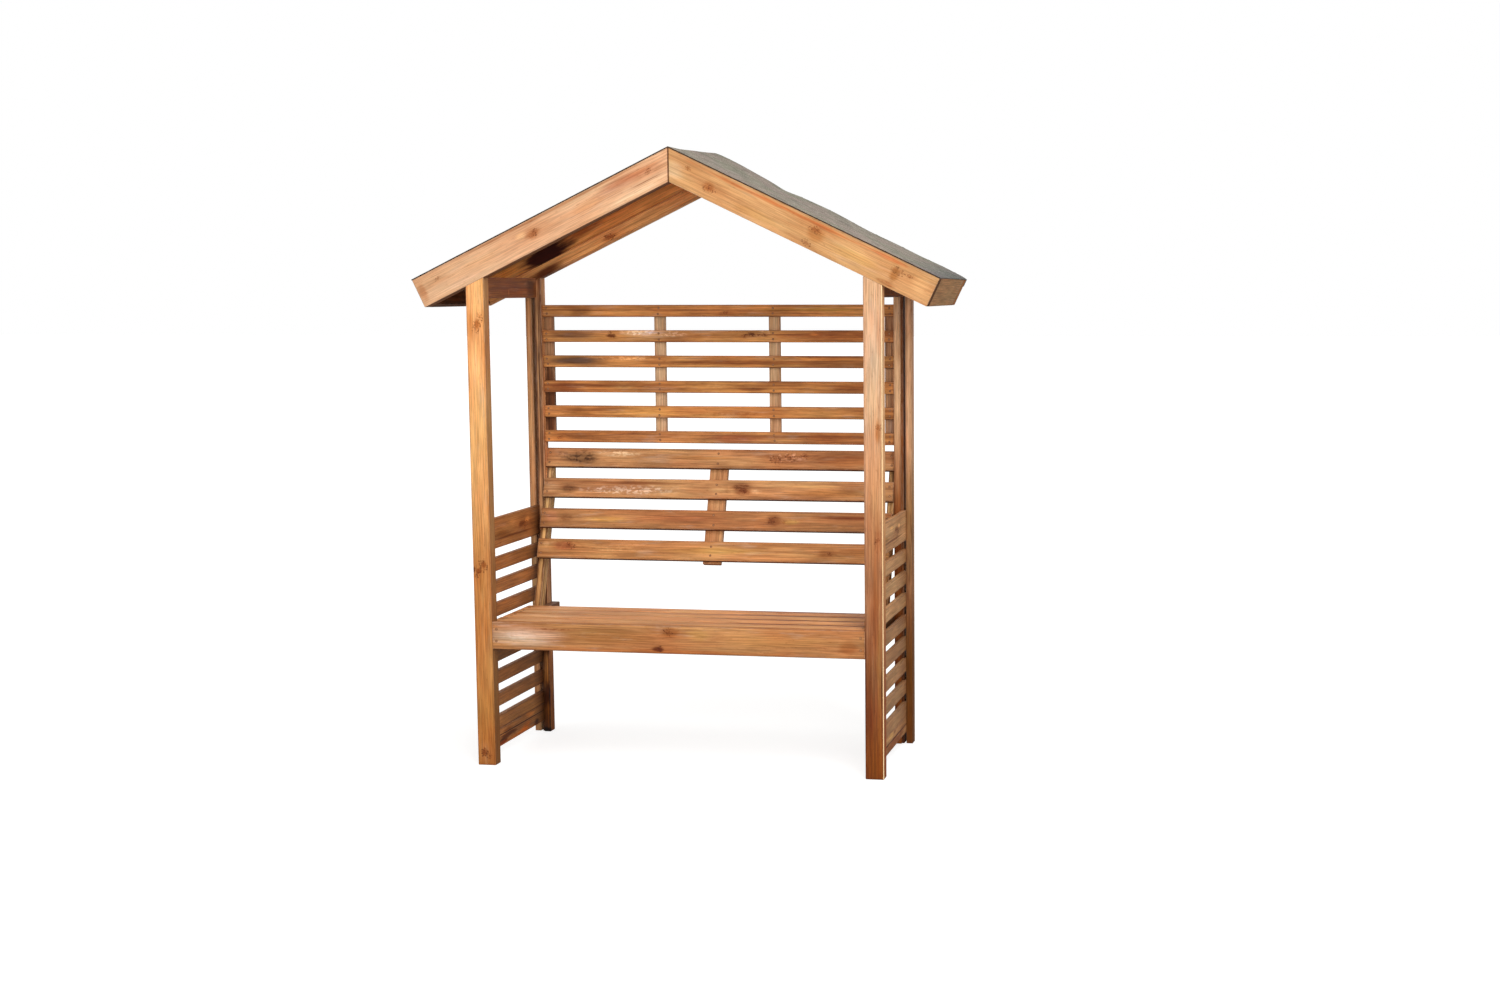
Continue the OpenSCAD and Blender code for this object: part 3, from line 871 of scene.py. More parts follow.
# %% Finish the sides
for side_name, side in sides:
    tones = side_tones[side_name]
    inner_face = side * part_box("side_top_board_right")[0].x
    finish_timber(
        "side_top_board_" + side_name, *tones, knots=[(inner_face, 0.091, 0.754, 0.013)],
        under_tint=underside_painted_shade, **calm_grain, **(rear_shade["left"] if side_name == "left" else {}),
        marks=side_patches(
            inner_face,
            (0.115, 0.765, 30, 10, (1.3, 1.32, 1.3)),
            (0.06, 0.757, 34, 12, (0.7, 0.62, 0.56), 0.7, 1.4),
            (-0.02, 0.772, 50, 7, (1.12, 1.1, 1.02)),
            (0.0, 0.729, 240, 5, (0.7, 0.62, 0.54)),
            (-0.13, 0.742, 90, 14, (0.84, 0.78, 0.68))))
    slats = "side_slats_" + side_name
    slat_heights = Board(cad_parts[slats].data).heights()[:slats_with_painted_shade[side_name]]
    finish_timber(
        slats, *tones, border=0.006, Pooled=0.6, under_tint=underside_painted_shade, **calm_grain, **rear_shade[side_name],
        marks=side_patches(inner_face, *((0.0, z, 400, 40, (0.86, 0.84, 0.84)) for z in slat_heights)))
    bottom, top = (corner.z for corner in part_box("side_bottom_board_" + side_name))
    bottom_patches = [patch((inner_face, y, bottom + share * (top - bottom)), *rest, ragged=1.6)
                      for y, share, *rest in bottom_marks[side_name]]
    joint = bottom + joint_share[side_name] * (top - bottom)
    joint_line = patch((inner_face, 0.0, joint), 400, 2.2, (0.26, 0.2, 0.16), 0.4, 0.3)
    finish_timber(
        "side_bottom_board_" + side_name, *tones, under_tint=underside_painted_shade, marks=bottom_patches + [joint_line],
        **calm_grain, **rear_shade[side_name])

# %% Finish the top rails
rail_low, rail_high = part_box("side_top_rail_right")
rail_y, rail_z = (rail_low.y + rail_high.y) / 2, (rail_low.z + rail_high.z) / 2
for side_name, side in sides:
    finish_timber(
        "side_top_rail_" + side_name, (188, 116, 62), (140, 84, 44), under_tint=underside_painted_shade,
        marks=side_patches(
            side * rail_low.x,
            (rail_y, rail_z - 0.016, 400, 16, (0.96, 0.94, 0.92), 0.3),
            (rail_y, rail_z, 400, 1.6, (0.7, 0.66, 0.62), 0.5, 0.2),
            (rail_y - 0.02, rail_z - 0.015, 5, 14, (1.3, 1.35, 1.4)),
            (rail_y + 0.19, rail_z, 60, 40, (0.7, 0.66, 0.62))))

# %% [markdown]
# ## The lattice above the backrest
# Six thin slats cross two middle stiles and two end stiles. The stiles stand behind the slats. The
# slats' left ends are darker, and rough spots show on the second and third.

# %% Finish the lattice
lattice_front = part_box("lattice_slats")[0].y
dark_ends = front_patches(
    lattice_front,
    (-0.475, 1.468, 62, 24, (0.72, 0.68, 0.66), 0.8, 0.6),
    (-0.50, 1.389, 110, 24, (0.73, 0.72, 0.80), 0.8, 0.6),
    (-0.49, 1.301, 140, 24, (0.55, 0.56, 0.66), 0.8, 0.6),
    (-0.54, 1.212, 85, 24, (0.84, 0.76, 0.74), 0.8, 0.6),
    (-0.49, 1.125, 75, 24, (0.82, 0.80, 0.74), 0.8, 0.6),
    (-0.47, 1.037, 170, 24, (0.74, 0.70, 0.66), 0.8, 0.6))
lattice_marks = front_patches(
    lattice_front,
    (0.32, 1.474, 240, 8, (0.94, 0.98, 0.84)),
    (0.0, 1.389, 620, 24, (1.05, 1.08, 1.10), 0.3),
    (0.0, 1.212, 620, 24, (0.95, 0.94, 0.92), 0.3),
    (0.0, 1.037, 620, 24, (0.89, 0.90, 0.96), 0.3),
    (-0.22, 1.389, 190, 22, (1.04, 1.10, 1.26), 0.8),
    (-0.28, 1.396, 90, 12, (1.24, 1.42, 1.8), 0.7, 0.8, 0.7),
    (-0.15, 1.392, 60, 12, (1.2, 1.34, 1.6), 0.7, 0.8, 0.9),
    (-0.367, 1.386, 26, 9, (0.6, 0.52, 0.46), 0.6, 1.2),
    (0.14, 1.392, 60, 14, (0.58, 0.48, 0.42), 0.7, 0.8, 0.8),
    (0.165, 1.398, 45, 9, (1.28, 1.42, 1.7), 0.7, 0.8, 0.9),
    (0.42, 1.389, 260, 20, (0.92, 0.84, 0.78)),
    (0.34, 1.392, 20, 8, (1.2, 1.2, 1.15)),
    (-0.34, 1.309, 150, 8, (1.3, 1.42, 1.6), 0.7, 0.8, 0.7),
    (0.1, 1.296, 420, 12, (0.88, 0.82, 0.78)),
    (0.38, 1.309, 150, 8, (1.14, 1.1, 1.0)),
    (-0.33, 1.214, 50, 12, (1.12, 1.2, 1.3), 0.7, 0.8, 0.4),
    (0.0, 1.216, 60, 10, (1.1, 1.14, 1.2), 0.7, 0.8, 0.5),
    (0.12, 1.206, 70, 7, (0.8, 0.72, 0.68)),
    (0.48, 1.212, 120, 22, (0.84, 0.78, 0.74)),
    (-0.24, 1.126, 150, 24, (1.1, 1.12, 1.08)),
    (0.05, 1.122, 150, 14, (0.86, 0.8, 0.76), 0.7, 0.8, 0.5),
    (0.06, 1.037, 110, 18, (1.06, 0.98, 1.04)),
    (0.42, 1.037, 200, 22, (0.9, 0.82, 0.76)))
finish_timber(
    "lattice_slats", (226, 157, 92), (146, 88, 46), border=0.005, Pooled=0.5, under_tint=underside_painted_shade,
    Streaks=0.6, marks=dark_ends + lattice_marks,
    knots=front_knots(lattice_front, (0.038, 1.465, 0.006), (-0.367, 1.388, 0.009), (0.100, 1.386, 0.006),
                      (0.130, 1.392, 0.005), (-0.561, 1.037, 0.005)))
finish_timber("lattice_mid_stiles", (226, 184, 146), (182, 132, 92), streak_width=0.007)
finish_timber(
    "lattice_end_stiles", (186, 138, 100), (112, 74, 48), streak_width=0.007,
    marks=front_patches(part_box("lattice_end_stiles")[0].y, (-0.6, 1.16, 170, 30, (0.68, 0.58, 0.5), 0.5)))

# %% [markdown]
# ## The backrest
# Four slats lean back a little on three supports. The first has a cluster of small knots, the second a
# dark patch beside the middle, the third and fourth two knots each.

# %% Knots and patches of the backrest slats
backrest_slats = [
    {"tones": ((214, 154, 104), (150, 98, 60)),
     "knots": [(0.251, 0.972, 0.011), (0.203, 0.962, 0.010), (0.302, 0.977, 0.009)],
     "marks": [
         (-0.490, 0.965, 90, 30, (0.46, 0.42, 0.40), 0.35), (-0.56, 0.974, 40, 20, (0.8, 0.8, 0.84), 0.5),
         (-0.36, 0.978, 100, 14, (1.24, 1.42, 1.66), 0.7), (-0.05, 0.966, 150, 10, (0.92, 0.88, 0.8), 0.0),
         (0.245, 0.966, 80, 24, (0.74, 0.66, 0.58), 0.6), (0.245, 0.970, 78, 22, (1.6, 1.85, 2.3), 0.95),
         (0.46, 0.962, 160, 30, (0.92, 0.84, 0.76), 0.0)]},
    {"tones": ((220, 162, 110), (156, 104, 66)),
     "knots": [(0.075, 0.868, 0.006), (0.104, 0.853, 0.006)],
     "marks": [
         (-0.522, 0.855, 40, 18, (0.64, 0.57, 0.52), 0.3), (-0.585, 0.866, 36, 22, (1.1, 1.15, 1.24), 0.3),
         (-0.38, 0.864, 200, 26, (0.90, 0.88, 0.88), 0.0), (-0.30, 0.856, 220, 20, (1.26, 1.5, 1.9), 0.88),
         (-0.3, 0.882, 240, 7, (0.86, 0.8, 0.74), 0.0), (0.14, 0.855, 26, 14, (1.16, 1.26, 1.36), 0.5),
         (0.005, 0.866, 45, 22, (1.1, 1.14, 1.16), 0.0), (0.092, 0.862, 44, 30, (0.62, 0.5, 0.42), 0.3),
         (0.42, 0.852, 220, 20, (0.92, 0.88, 0.78), 0.0), (0.35, 0.876, 160, 8, (1.1, 1.12, 1.08), 0.0)]},
    {"tones": ((196, 136, 88), (136, 88, 52)),
     "knots": [(0.205, 0.765, 0.008), (0.245, 0.757, 0.005)],
     "marks": [
         (-0.575, 0.766, 36, 26, (1.08, 1.04, 1.12), 0.0), (-0.525, 0.762, 36, 22, (0.80, 0.74, 0.7), 0.3),
         (-0.38, 0.757, 90, 14, (1.1, 1.14, 1.0), 0.0), (-0.1, 0.765, 180, 18, (0.95, 0.9, 0.9), 0.0),
         (0.21, 0.762, 34, 26, (0.74, 0.66, 0.6), 0.2), (0.27, 0.757, 36, 12, (1.05, 1.14, 1.05), 0.0),
         (0.47, 0.776, 160, 9, (0.8, 0.66, 0.56), 0.0)]},
    {"tones": ((222, 162, 106), (166, 112, 66)),
     "knots": [(-0.500, 0.672, 0.009), (0.410, 0.656, 0.006)],
     "marks": [
         (-0.52, 0.668, 55, 24, (0.9, 0.78, 0.8), 0.3), (-0.585, 0.675, 14, 14, (1.15, 1.2, 1.25), 0.0),
         (-0.33, 0.662, 100, 16, (1.1, 1.16, 1.2), 0.7), (0.0, 0.66, 240, 16, (0.97, 1.0, 0.9), 0.0),
         (0.40, 0.656, 44, 20, (0.88, 0.82, 0.76), 0.0), (0.52, 0.664, 110, 26, (0.92, 0.84, 0.78), 0.0)]},
]

# %% Finish the backrest
for number, slat in enumerate(backrest_slats, start=1):
    node = f"backrest_slat_{number}"
    low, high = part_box(node)
    slat_y = (low.y + high.y) / 2
    slat_marks = [patch((x, slat_y, z), length, width, tint, speckle=speckle)
                  for x, z, length, width, tint, speckle in slat["marks"]]
    finish_timber(
        node, *slat["tones"], knots=front_knots(slat_y, *slat["knots"]), marks=slat_marks, border=0.006,
        Pooled=0.5, under_tint=underside_painted_shade, pith=(0.01 * number - 0.02, 0.08))
for side_name, _ in sides:
    finish_timber(
        "backrest_support_" + side_name, (255, 200, 134), (120, 78, 42), streak_width=0.007, Streaks=1.0)
finish_timber("backrest_support_centre", (216, 156, 108), (182, 124, 80), Pooled=0.3)

# %% [markdown]
# ## The bench
# Four boards lie on two bearers. A deeper board stands on edge in front of them. The boards' edges are
# rounded more than the rest, so that nobody sits on a sharp one, and stain has pooled along them; on the
# right a dark band of painted shade marks the gap behind each board. The front board's left end is worn pale.

# %% Finish the front board
finish_timber(
    "seat_front_board", (192, 134, 86), (154, 103, 60), Patches=0.35, Pooled=0.25, under_tint=underside_painted_shade,
    knots=front_knots(front, (-0.025, 0.454, 0.011), (-0.053, 0.400, 0.008)),
    marks=front_patches(
        front,
        (-0.50, 0.430, 170, 44, (1.24, 1.50, 2.02), 0.9, 0.6),
        (-0.53, 0.428, 90, 20, (1.04, 1.10, 1.16), 0.8, 1.2, 0.5),
        (-0.42, 0.455, 120, 5, (0.8, 0.72, 0.66), 0.7, 0.8, 0.5),
        (-0.24, 0.435, 190, 36, (0.93, 0.94, 0.88)),
        (-0.06, 0.400, 26, 12, (0.62, 0.5, 0.42)),
        (-0.02, 0.452, 40, 22, (0.9, 0.84, 0.76)),
        (0.075, 0.445, 50, 26, (1.06, 1.1, 1.04)),
        (0.0, 0.392, 620, 9, (0.92, 0.82, 0.74)),
        # a painted highlight along the top edge
        (0.0, 0.470, 620, 6, (1.1, 1.14, 1.18)),
        (0.34, 0.435, 240, 30, (1.0, 1.0, 0.95)),
        (0.56, 0.42, 40, 30, (0.92, 0.84, 0.76))))

# %% Finish the seat
for number in range(1, 5):
    low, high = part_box(f"seat_board_{number}")
    middle = (low + high) / 2
    seat_marks = [
        # A dark band along each board's rear edge, on the right, is painted shade in the gap behind it.
        patch((0.38, middle.y + 0.027, middle.z), 400, 11, (0.45, 0.33, 0.24)),
        patch((0.1, middle.y - 0.02, middle.z), 620, 12, (1.05, 1.06, 1.06)),
        patch((-0.5, middle.y, middle.z), 150, 50, (1.06, 1.13, 1.22)),
    ]
    finish_timber(
        f"seat_board_{number}", (252, 190, 132), (204, 138, 86), pith=(0.02 * (number - 2), 0.07),
        knots=[(0.27, middle.y, middle.z, 0.012)] if number == 4 else [], marks=seat_marks,
        eased=0.004, Streaks=0.6, streak_width=0.016, Pooled=0.55, worn_edge=0.004)
for side_name, _ in sides:
    finish_timber("seat_bearer_" + side_name, (150, 104, 68), (100, 64, 40))

# %% [markdown]
# ## The roof timbers
# Two beams meet in a mitre at each gable. Boards close the eaves, and thin bearers beside the beams
# carry the deck. Points on them are easiest to give down the slope and square to it.

# %% Measure the slope
beam_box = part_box("front_gable_beam_right")
beam_grain = Board(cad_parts["front_gable_beam_right"].data).grain
roof_pitch = math.atan2(-beam_grain.z, beam_grain.x)
ridge_z = beam_box[1].z
slope_length = beam_box[1].x / math.cos(roof_pitch)
print("roof pitch", round(math.degrees(roof_pitch), 2), "degrees, ridge at", round(ridge_z, 4),
      "and slope", round(slope_length, 4), "m")


def on_slope(side, from_ridge, depth, y):
    """A point at from_ridge down the slope and depth square to it."""
    x = from_ridge * math.cos(roof_pitch) - depth * math.sin(roof_pitch)
    z = ridge_z - from_ridge * math.sin(roof_pitch) - depth * math.cos(roof_pitch)
    return (side * x, y, z)


def slope_patches(side, y, *rows):
    """Patches on a beam at y. Each row gives the way from the ridge and the depth, then the patch."""
    return [patch(on_slope(side, from_ridge, depth, y), *rest) for from_ridge, depth, *rest in rows]


def slope_knots(side, y, *rows):
    """Knots on a beam at y. Each row gives the way from the ridge, the depth and the radius."""
    return [(*on_slope(side, from_ridge, depth, y), radius) for from_ridge, depth, radius in rows]


# %% Finish the front beams
# The beams' lower faces get painted shade.
beam_look = {"joint": 0.0, "under_tint": underside_painted_shade, "streak_width": 0.02, "Streaks": 0.35, "Figure": 0.1,
             "Pooled": 0.2, "Hue Shift": 0.35, "Fine Grain": 0.7, "Dryness": 0.2}
finish_timber(
    "front_gable_beam_left", (222, 177, 140), (194, 143, 102), **beam_look,
    knots=slope_knots(-1, front, (0.512, 0.045, 0.011), (0.868, 0.032, 0.006), (0.090, 0.037, 0.006)),
    marks=slope_patches(
        -1, front,
        (0.515, 0.045, 36, 22, (0.88, 0.78, 0.68)), (0.555, 0.034, 24, 14, (1.08, 1.12, 1.1)),
        (0.15, 0.045, 190, 44, (0.96, 0.93, 0.93), 0.9), (0.14, 0.026, 140, 15, (0.96, 0.88, 0.82), 0.9),
        (0.11, 0.062, 80, 1.6, (0.7, 0.6, 0.52), 0.6, 0.2), (0.16, 0.082, 200, 13, (1.05, 1.08, 1.1)),
        (0.72, 0.05, 130, 30, (1.02, 1.02, 1.0)), (0.32, 0.045, 90, 22, (0.96, 0.90, 0.84)),
        (0.45, 0.006, 460, 5, (0.84, 0.76, 0.7)), (0.93, 0.05, 18, 40, (0.92, 0.84, 0.78)),
        (0.20, 0.03, 120, 26, (0.93, 0.88, 0.88), 0.9)))
finish_timber(
    "front_gable_beam_right", (207, 159, 108), (182, 127, 79), **beam_look,
    knots=slope_knots(
        1, front, (0.173, 0.060, 0.009), (0.085, 0.030, 0.006), (0.532, 0.032, 0.010), (0.522, 0.080, 0.008),
        (0.820, 0.034, 0.010), (0.862, 0.035, 0.006)),
    marks=slope_patches(
        1, front,
        (0.45, 0.012, 440, 9, (0.98, 0.80, 0.70), 0.8, 1.3), (0.78, 0.012, 90, 10, (1.0, 0.84, 0.76)),
        (0.04, 0.055, 50, 40, (1.03, 1.10, 1.22)), (0.17, 0.055, 26, 22, (0.92, 0.84, 0.76)),
        (0.34, 0.07, 110, 20, (0.95, 0.92, 0.86)), (0.54, 0.045, 36, 30, (0.92, 0.84, 0.74)),
        (0.68, 0.055, 110, 24, (1.04, 1.06, 1.0)), (0.815, 0.05, 20, 34, (0.86, 0.78, 0.66)),
        (0.80, 0.085, 40, 10, (0.82, 0.7, 0.6), 0.7, 0.8, 0.4), (0.90, 0.045, 40, 30, (1.07, 1.10, 1.12))))

# %% Finish the other roof timbers
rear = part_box("rear_gable_beam_left")[0].y
finish_timber(
    "rear_gable_beam_left", (255, 190, 124), (222, 146, 86), joint=0.0,
    knots=slope_knots(-1, rear, (0.121, 0.052, 0.009), (0.440, 0.078, 0.009)),
    marks=slope_patches(
        -1, rear,
        (0.70, 0.085, 100, 30, (0.42, 0.32, 0.24), 0.9),
        (0.40, 0.095, 320, 16, (1.08, 1.1, 1.1), 0.4),
        (0.44, 0.078, 40, 14, (0.84, 0.76, 0.7))))
finish_timber("rear_gable_beam_right", (246, 174, 116), (208, 130, 76), joint=0.0)
# The left eaves board's dark tones are painted shade: its inner face lies under the roof.
finish_timber("eaves_board_left", (116, 76, 45), (78, 48, 27))
finish_timber("eaves_board_right", (204, 156, 112), (158, 114, 74), streak_width=0.02)
finish_timber(
    "deck_bearers", (252, 172, 100), (216, 134, 68), mirrored=True, worn_edge=0.0001,
    knots=slope_knots(1, rear, (0.10, 0.030, 0.008)),
    marks=slope_patches(
        1, rear,
        (0.66, 0.035, 130, 46, (0.24, 0.12, 0.04), 0.6, 1.2),
        (0.52, 0.02, 120, 26, (0.74, 0.64, 0.56), 0.9),
        (0.82, 0.03, 70, 26, (1.1, 1.08, 1.0)),
        (0.08, 0.02, 30, 16, (1.1, 1.3, 1.5), 0.7, 0.8, 0.4)))
print("timbers finished:", len(boards))

# %% [markdown]
# ## The roof boards
# The frame carries each slope's deck as one plain sheet. A real one is a row of thin boards laid from
# gable to gable, and from under the roof their chamfered joints show. So boards take the sheet's
# place: each is a box with eased edges, a hair apart from the next.

# %% Helpers: new pieces
box_faces = ((0, 2, 3, 1), (4, 5, 7, 6), (0, 1, 5, 4), (2, 6, 7, 3), (0, 4, 6, 2), (1, 3, 7, 5))


def box_between(shape, origin, axes, low, high):
    """Adds a box to a shape: origin and three axes, with the lowest and highest place along each."""
    corners = []
    for index in range(8):
        offsets = [high[k] if index >> k & 1 else low[k] for k in range(3)]
        corners.append(shape.verts.new(origin + sum((axes[k] * offsets[k] for k in range(3)), Vector())))
    for face in box_faces:
        shape.faces.new([corners[k] for k in face])


def new_piece(name, shape, *materials):
    """Makes an object of a shape, in the frame's own place, that belongs to the arbour."""
    bmesh.ops.recalc_face_normals(shape, faces=shape.faces)
    mesh = bpy.data.meshes.new(name)
    shape.to_mesh(mesh)
    shape.free()
    piece = bpy.data.objects.new(name, mesh)
    scene.collection.objects.link(piece)
    for material in materials:
        mesh.materials.append(material)
    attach(piece, "root")
    print(name, "faces:", len(mesh.polygons))
    return piece


# %% Board the roof
deck_low, deck_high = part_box("roof_deck_right")
deck_top, deck_bottom = 0.0003, 0.015
ridge_gap = 0.008
board_gap = 0.0008
roof_board_count = 10
roof_board_width = (deck_high.x / math.cos(roof_pitch) - ridge_gap) / roof_board_count
for side_name, side in sides:
    down = Vector((side * math.cos(roof_pitch), 0, -math.sin(roof_pitch)))
    inward = Vector((-side * math.sin(roof_pitch), 0, -math.cos(roof_pitch)))
    axes = (down, Vector((0, 1, 0)), inward)
    shape = bmesh.new()
    for number in range(roof_board_count):
        upper = ridge_gap + number * roof_board_width
        lower = upper + roof_board_width - board_gap
        box_between(shape, Vector((0, 0, ridge_z)), axes, (upper, deck_low.y, deck_top),
                    (lower, deck_high.y, deck_bottom))
    roof_boards = new_piece("roof_boards_" + side_name, shape)
    board = Board(roof_boards.data)
    boards[roof_boards.name] = board
    eaves_shade = slope_patches(
        side, 0.0,
        (0.79, 0.0, 400, 60, (0.66, 0.58, 0.5), 0.3),
        (0.88, 0.0, 400, 60, (0.66, 0.58, 0.5), 0.3))
    wood = wood_material("wood_" + roof_boards.name, board, (214, 140, 88), (158, 94, 54), marks=eaves_shade)
    roof_boards.data.materials.append(wood)
    ease_edges(roof_boards, 0.0025)
    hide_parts("roof_deck_" + side_name)

# %% [markdown]
# ## The roofing felt
# The roof is covered with one sheet of gritted roofing felt, folded over the ridge. Felt never lies
# quite flat: near the ridge it lifts at the rear, and its edges wave a little. So it is a fine grid of
# points, each raised off the deck by the amount that the wave gives it, and then given its thickness.
# At the rear its edge turns down over the beam.

# %% Shape the felt's wave
felt_low, felt_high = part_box("roof_felt")
felt_thick = (felt_high.z - ridge_z) * math.cos(roof_pitch)
felt_end = slope_length + 0.0005
front_overhang = 0.002
hem_drop = 0.024
hem_turn = 0.0035
ridge_fold = 0.025
nailed_flat = 0.08
curl_height, curl_length = 0.004, 0.03
waver_height = 0.0022
ragged_edge = 0.0011
swell_start = 0.22
swells = ((0.0145, 0.03, 0.19), (0.0065, 0.42, 0.10), (-0.0035, 0.26, 0.035))


def felt_lift(from_ridge, back):
    """How far the felt stands off the deck. back runs from 0 at the front edge to 1 at the rear.

    A swell has a height, a place on the way down from the ridge, and a width.
    """
    swell = sum(height * math.exp(-((from_ridge - middle) / width) ** 2) for height, middle, width in swells)
    toward_rear = max(0.0, (back - swell_start) / (1.0 - swell_start)) ** 1.3
    waver = waver_height * (0.5 + 0.5 * noise.noise(Vector((from_ridge * 11, back * 3, 2.0))))
    pressed = min(1.0, max(0.0, (felt_end - from_ridge) / nailed_flat))
    return toward_rear * swell + waver * pressed * min(1.0, 0.25 + 1.5 * back)


def felt_point(side, from_ridge, back, turned=0.0):
    """A point of the felt's lower face. turned runs from 0 to 1 down the hem at the rear."""
    sideways = min(1.0, from_ridge / ridge_fold)
    outward = Vector((side * math.sin(roof_pitch) * sideways, 0, math.cos(roof_pitch)))
    ragged = ragged_edge * noise.noise(Vector((side * from_ridge * 38, 0.0, 7.0)))
    front_edge = felt_low.y - front_overhang + ragged
    rear_edge = felt_high.y - hem_turn - felt_thick
    y = front_edge + (rear_edge - front_edge) * back + hem_turn * math.sin(turned * math.pi / 2)
    lift = felt_lift(from_ridge, back)
    rounded = curl_height * max(0.0, 1.0 - (felt_end - from_ridge) / curl_length) ** 2
    fall = hem_drop * turned ** 1.5 + lift * turned + rounded * max(0.0, back - 0.3)
    return Vector(on_slope(side, from_ridge, fall, y)) + outward * (lift / max(0.2, outward.length))


# %% Lay the felt
along_steps = 150
across_steps = 34
hem_steps = 4
shape = bmesh.new()
rows = []
for i in range(2 * along_steps + 1):
    side = -1 if i < along_steps else 1
    from_ridge = felt_end * abs(i - along_steps) / along_steps
    row = [felt_point(side, from_ridge, j / across_steps) for j in range(across_steps + 1)]
    row += [felt_point(side, from_ridge, 1.0, (j + 1) / hem_steps) for j in range(hem_steps)]
    rows.append([shape.verts.new(point) for point in row])
for first, second in zip(rows, rows[1:]):
    for j in range(len(first) - 1):
        shape.faces.new((first[j], second[j], second[j + 1], first[j + 1]))
felt = new_piece("roofing_felt", shape)
thicken = felt.modifiers.new("thickness", "SOLIDIFY")
thicken.thickness = felt_thick
thicken.offset = 1.0
for face in felt.data.polygons:
    face.use_smooth = True
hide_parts("roof_felt")

# %% [markdown]
# ## The felt's grit
# The felt's face is covered with crushed stone, pressed into tar. Most grains are grey-green and some
# are pinkish. Fine noise gives single grains their shade and height, a broader one the patches where
# grit has washed away or gathered. Along the edges the black tar shows, and the last stretch above the
# eaves is darkened with painted shade.

# %% Colour the grit
gritted, tree, shader, coordinates = new_finish("gritted_felt")
position = coordinates["Object"]
moved = vector_calc(tree, "ADD", position, (3.7, 1.9, 5.1))
grains = put(tree, "ShaderNodeTexVoronoi", {"Vector": position, "Scale": 560.0}).outputs
grain_shade = split(tree, grains["Color"])[0]
gathered = step(tree, cloud(tree, position, 22.0, 4.0, 0.68), 0.36, 0.64)
pinkish = step(tree, cloud(tree, position, 6.0, 3.0, 0.6), 0.44, 0.6)
greenish = step(tree, cloud(tree, moved, 8.0, 3.0, 0.6), 0.46, 0.62)
colour = mix_colour(tree, gathered, stain(134, 127, 116), stain(172, 163, 149))
colour = mix_colour(tree, times(tree, pinkish, 0.55), colour, stain(170, 151, 142))
colour = mix_colour(tree, times(tree, greenish, 0.4), colour, stain(142, 144, 122))
colour = shaded(tree, colour, step(tree, grain_shade, 0.0, 1.0, 0.58, 1.38))

# %% Darken its edges and finish the felt
x, y, _ = split(tree, position)
wander = times(tree, minus(tree, cloud(tree, position, 30.0, 3.0), 0.5), 0.012)
rear_rim = step(tree, plus(tree, y, wander), felt_high.y - 0.030, felt_high.y - 0.002)
front_rim = step(tree, times_plus(tree, wander, 0.3, y), felt_low.y + 0.004, felt_low.y + 0.0005)
# painted shade on the last stretch above the eaves
painted_eaves_shade = step(tree, times_plus(tree, wander, 2.0, calc(tree, "ABSOLUTE", x)), 0.70, 0.86)
for place, tint in ((rear_rim, (0.38, 0.36, 0.36)), (front_rim, (0.16, 0.10, 0.07)),
                    (painted_eaves_shade, (0.55, 0.60, 0.68))):
    colour = tinted(tree, place, colour, tint)
rough = step(tree, grain_shade, 0.0, 1.0, 0.98, 0.82)
height = times(tree, plus(tree, grain_shade, cloud(tree, position, 150.0, 3.0)), 0.0004)
shader.inputs["Specular IOR Level"].default_value = 0.3
dress(tree, shader, colour, rough, height, 1.0, 0.8)
felt.data.materials.append(gritted)

# %% [markdown]
# ## Nails and screws
# The slats are nailed, two nails at each crossing, one above the other. A nail's head is a shallow
# dome, set in a small dark dimple where its rust has stained the wood. The bench is held down with
# countersunk screws. A head is turned as a few rings of points round its axis, and a screw's cross is
# cut by lowering the points along two lines.

# %% Finish the steel, the zinc and the rust
def dull_metal(name, bright, dull, metallic):
    """Metal that has weathered in spots, with fine scratches."""
    material, tree, shader, coordinates = new_finish(name)
    position = coordinates["Object"]
    dulled = step(tree, cloud(tree, position, 320.0, 2.0), 0.35, 0.65)
    colour = mix_colour(tree, dulled, stain(*bright), stain(*dull))
    scratches = cloud(tree, vector_calc(tree, "MULTIPLY", position, (900, 900, 300)), 1.0)
    shader.inputs["Metallic"].default_value = metallic
    dress(tree, shader, colour, step(tree, dulled, 0.0, 1.0, 0.42, 0.7), scratches, 0.0003, 0.5)
    return material


steel = dull_metal("nail_steel", (176, 126, 84), (132, 90, 58), 0.25)
zinc = dull_metal("clout_zinc", (150, 148, 140), (104, 100, 92), 0.6)

rust_stain, tree, shader, coordinates = new_finish("rust_stained_wood")
run = step(tree, cloud(tree, coordinates["Object"], 240.0, 3.0, 0.6), 0.35, 0.68)
colour = mix_colour(tree, run, stain(110, 68, 40), stain(144, 94, 58))
dress(tree, shader, colour, step(tree, run, 0.0, 1.0, 0.7, 0.9), run, 0.0004, 0.6)

# %% Shape the heads
head_sides = 16
nail_profile = [
    (1.55, 0.00002), (1.46, 0.00022), (1.02, 0.0002), (1.0, 0.0007), (0.8, 0.0010), (0.42, 0.00125)]
screw_profile = [
    (1.25, 0.00002), (1.2, 0.0003), (1.0, 0.00035), (0.96, 0.0006), (0.62, 0.0006), (0.3, 0.0006)]
dome_rise = 0.0001
cross_depth = 0.0011
dimple_rings = 2


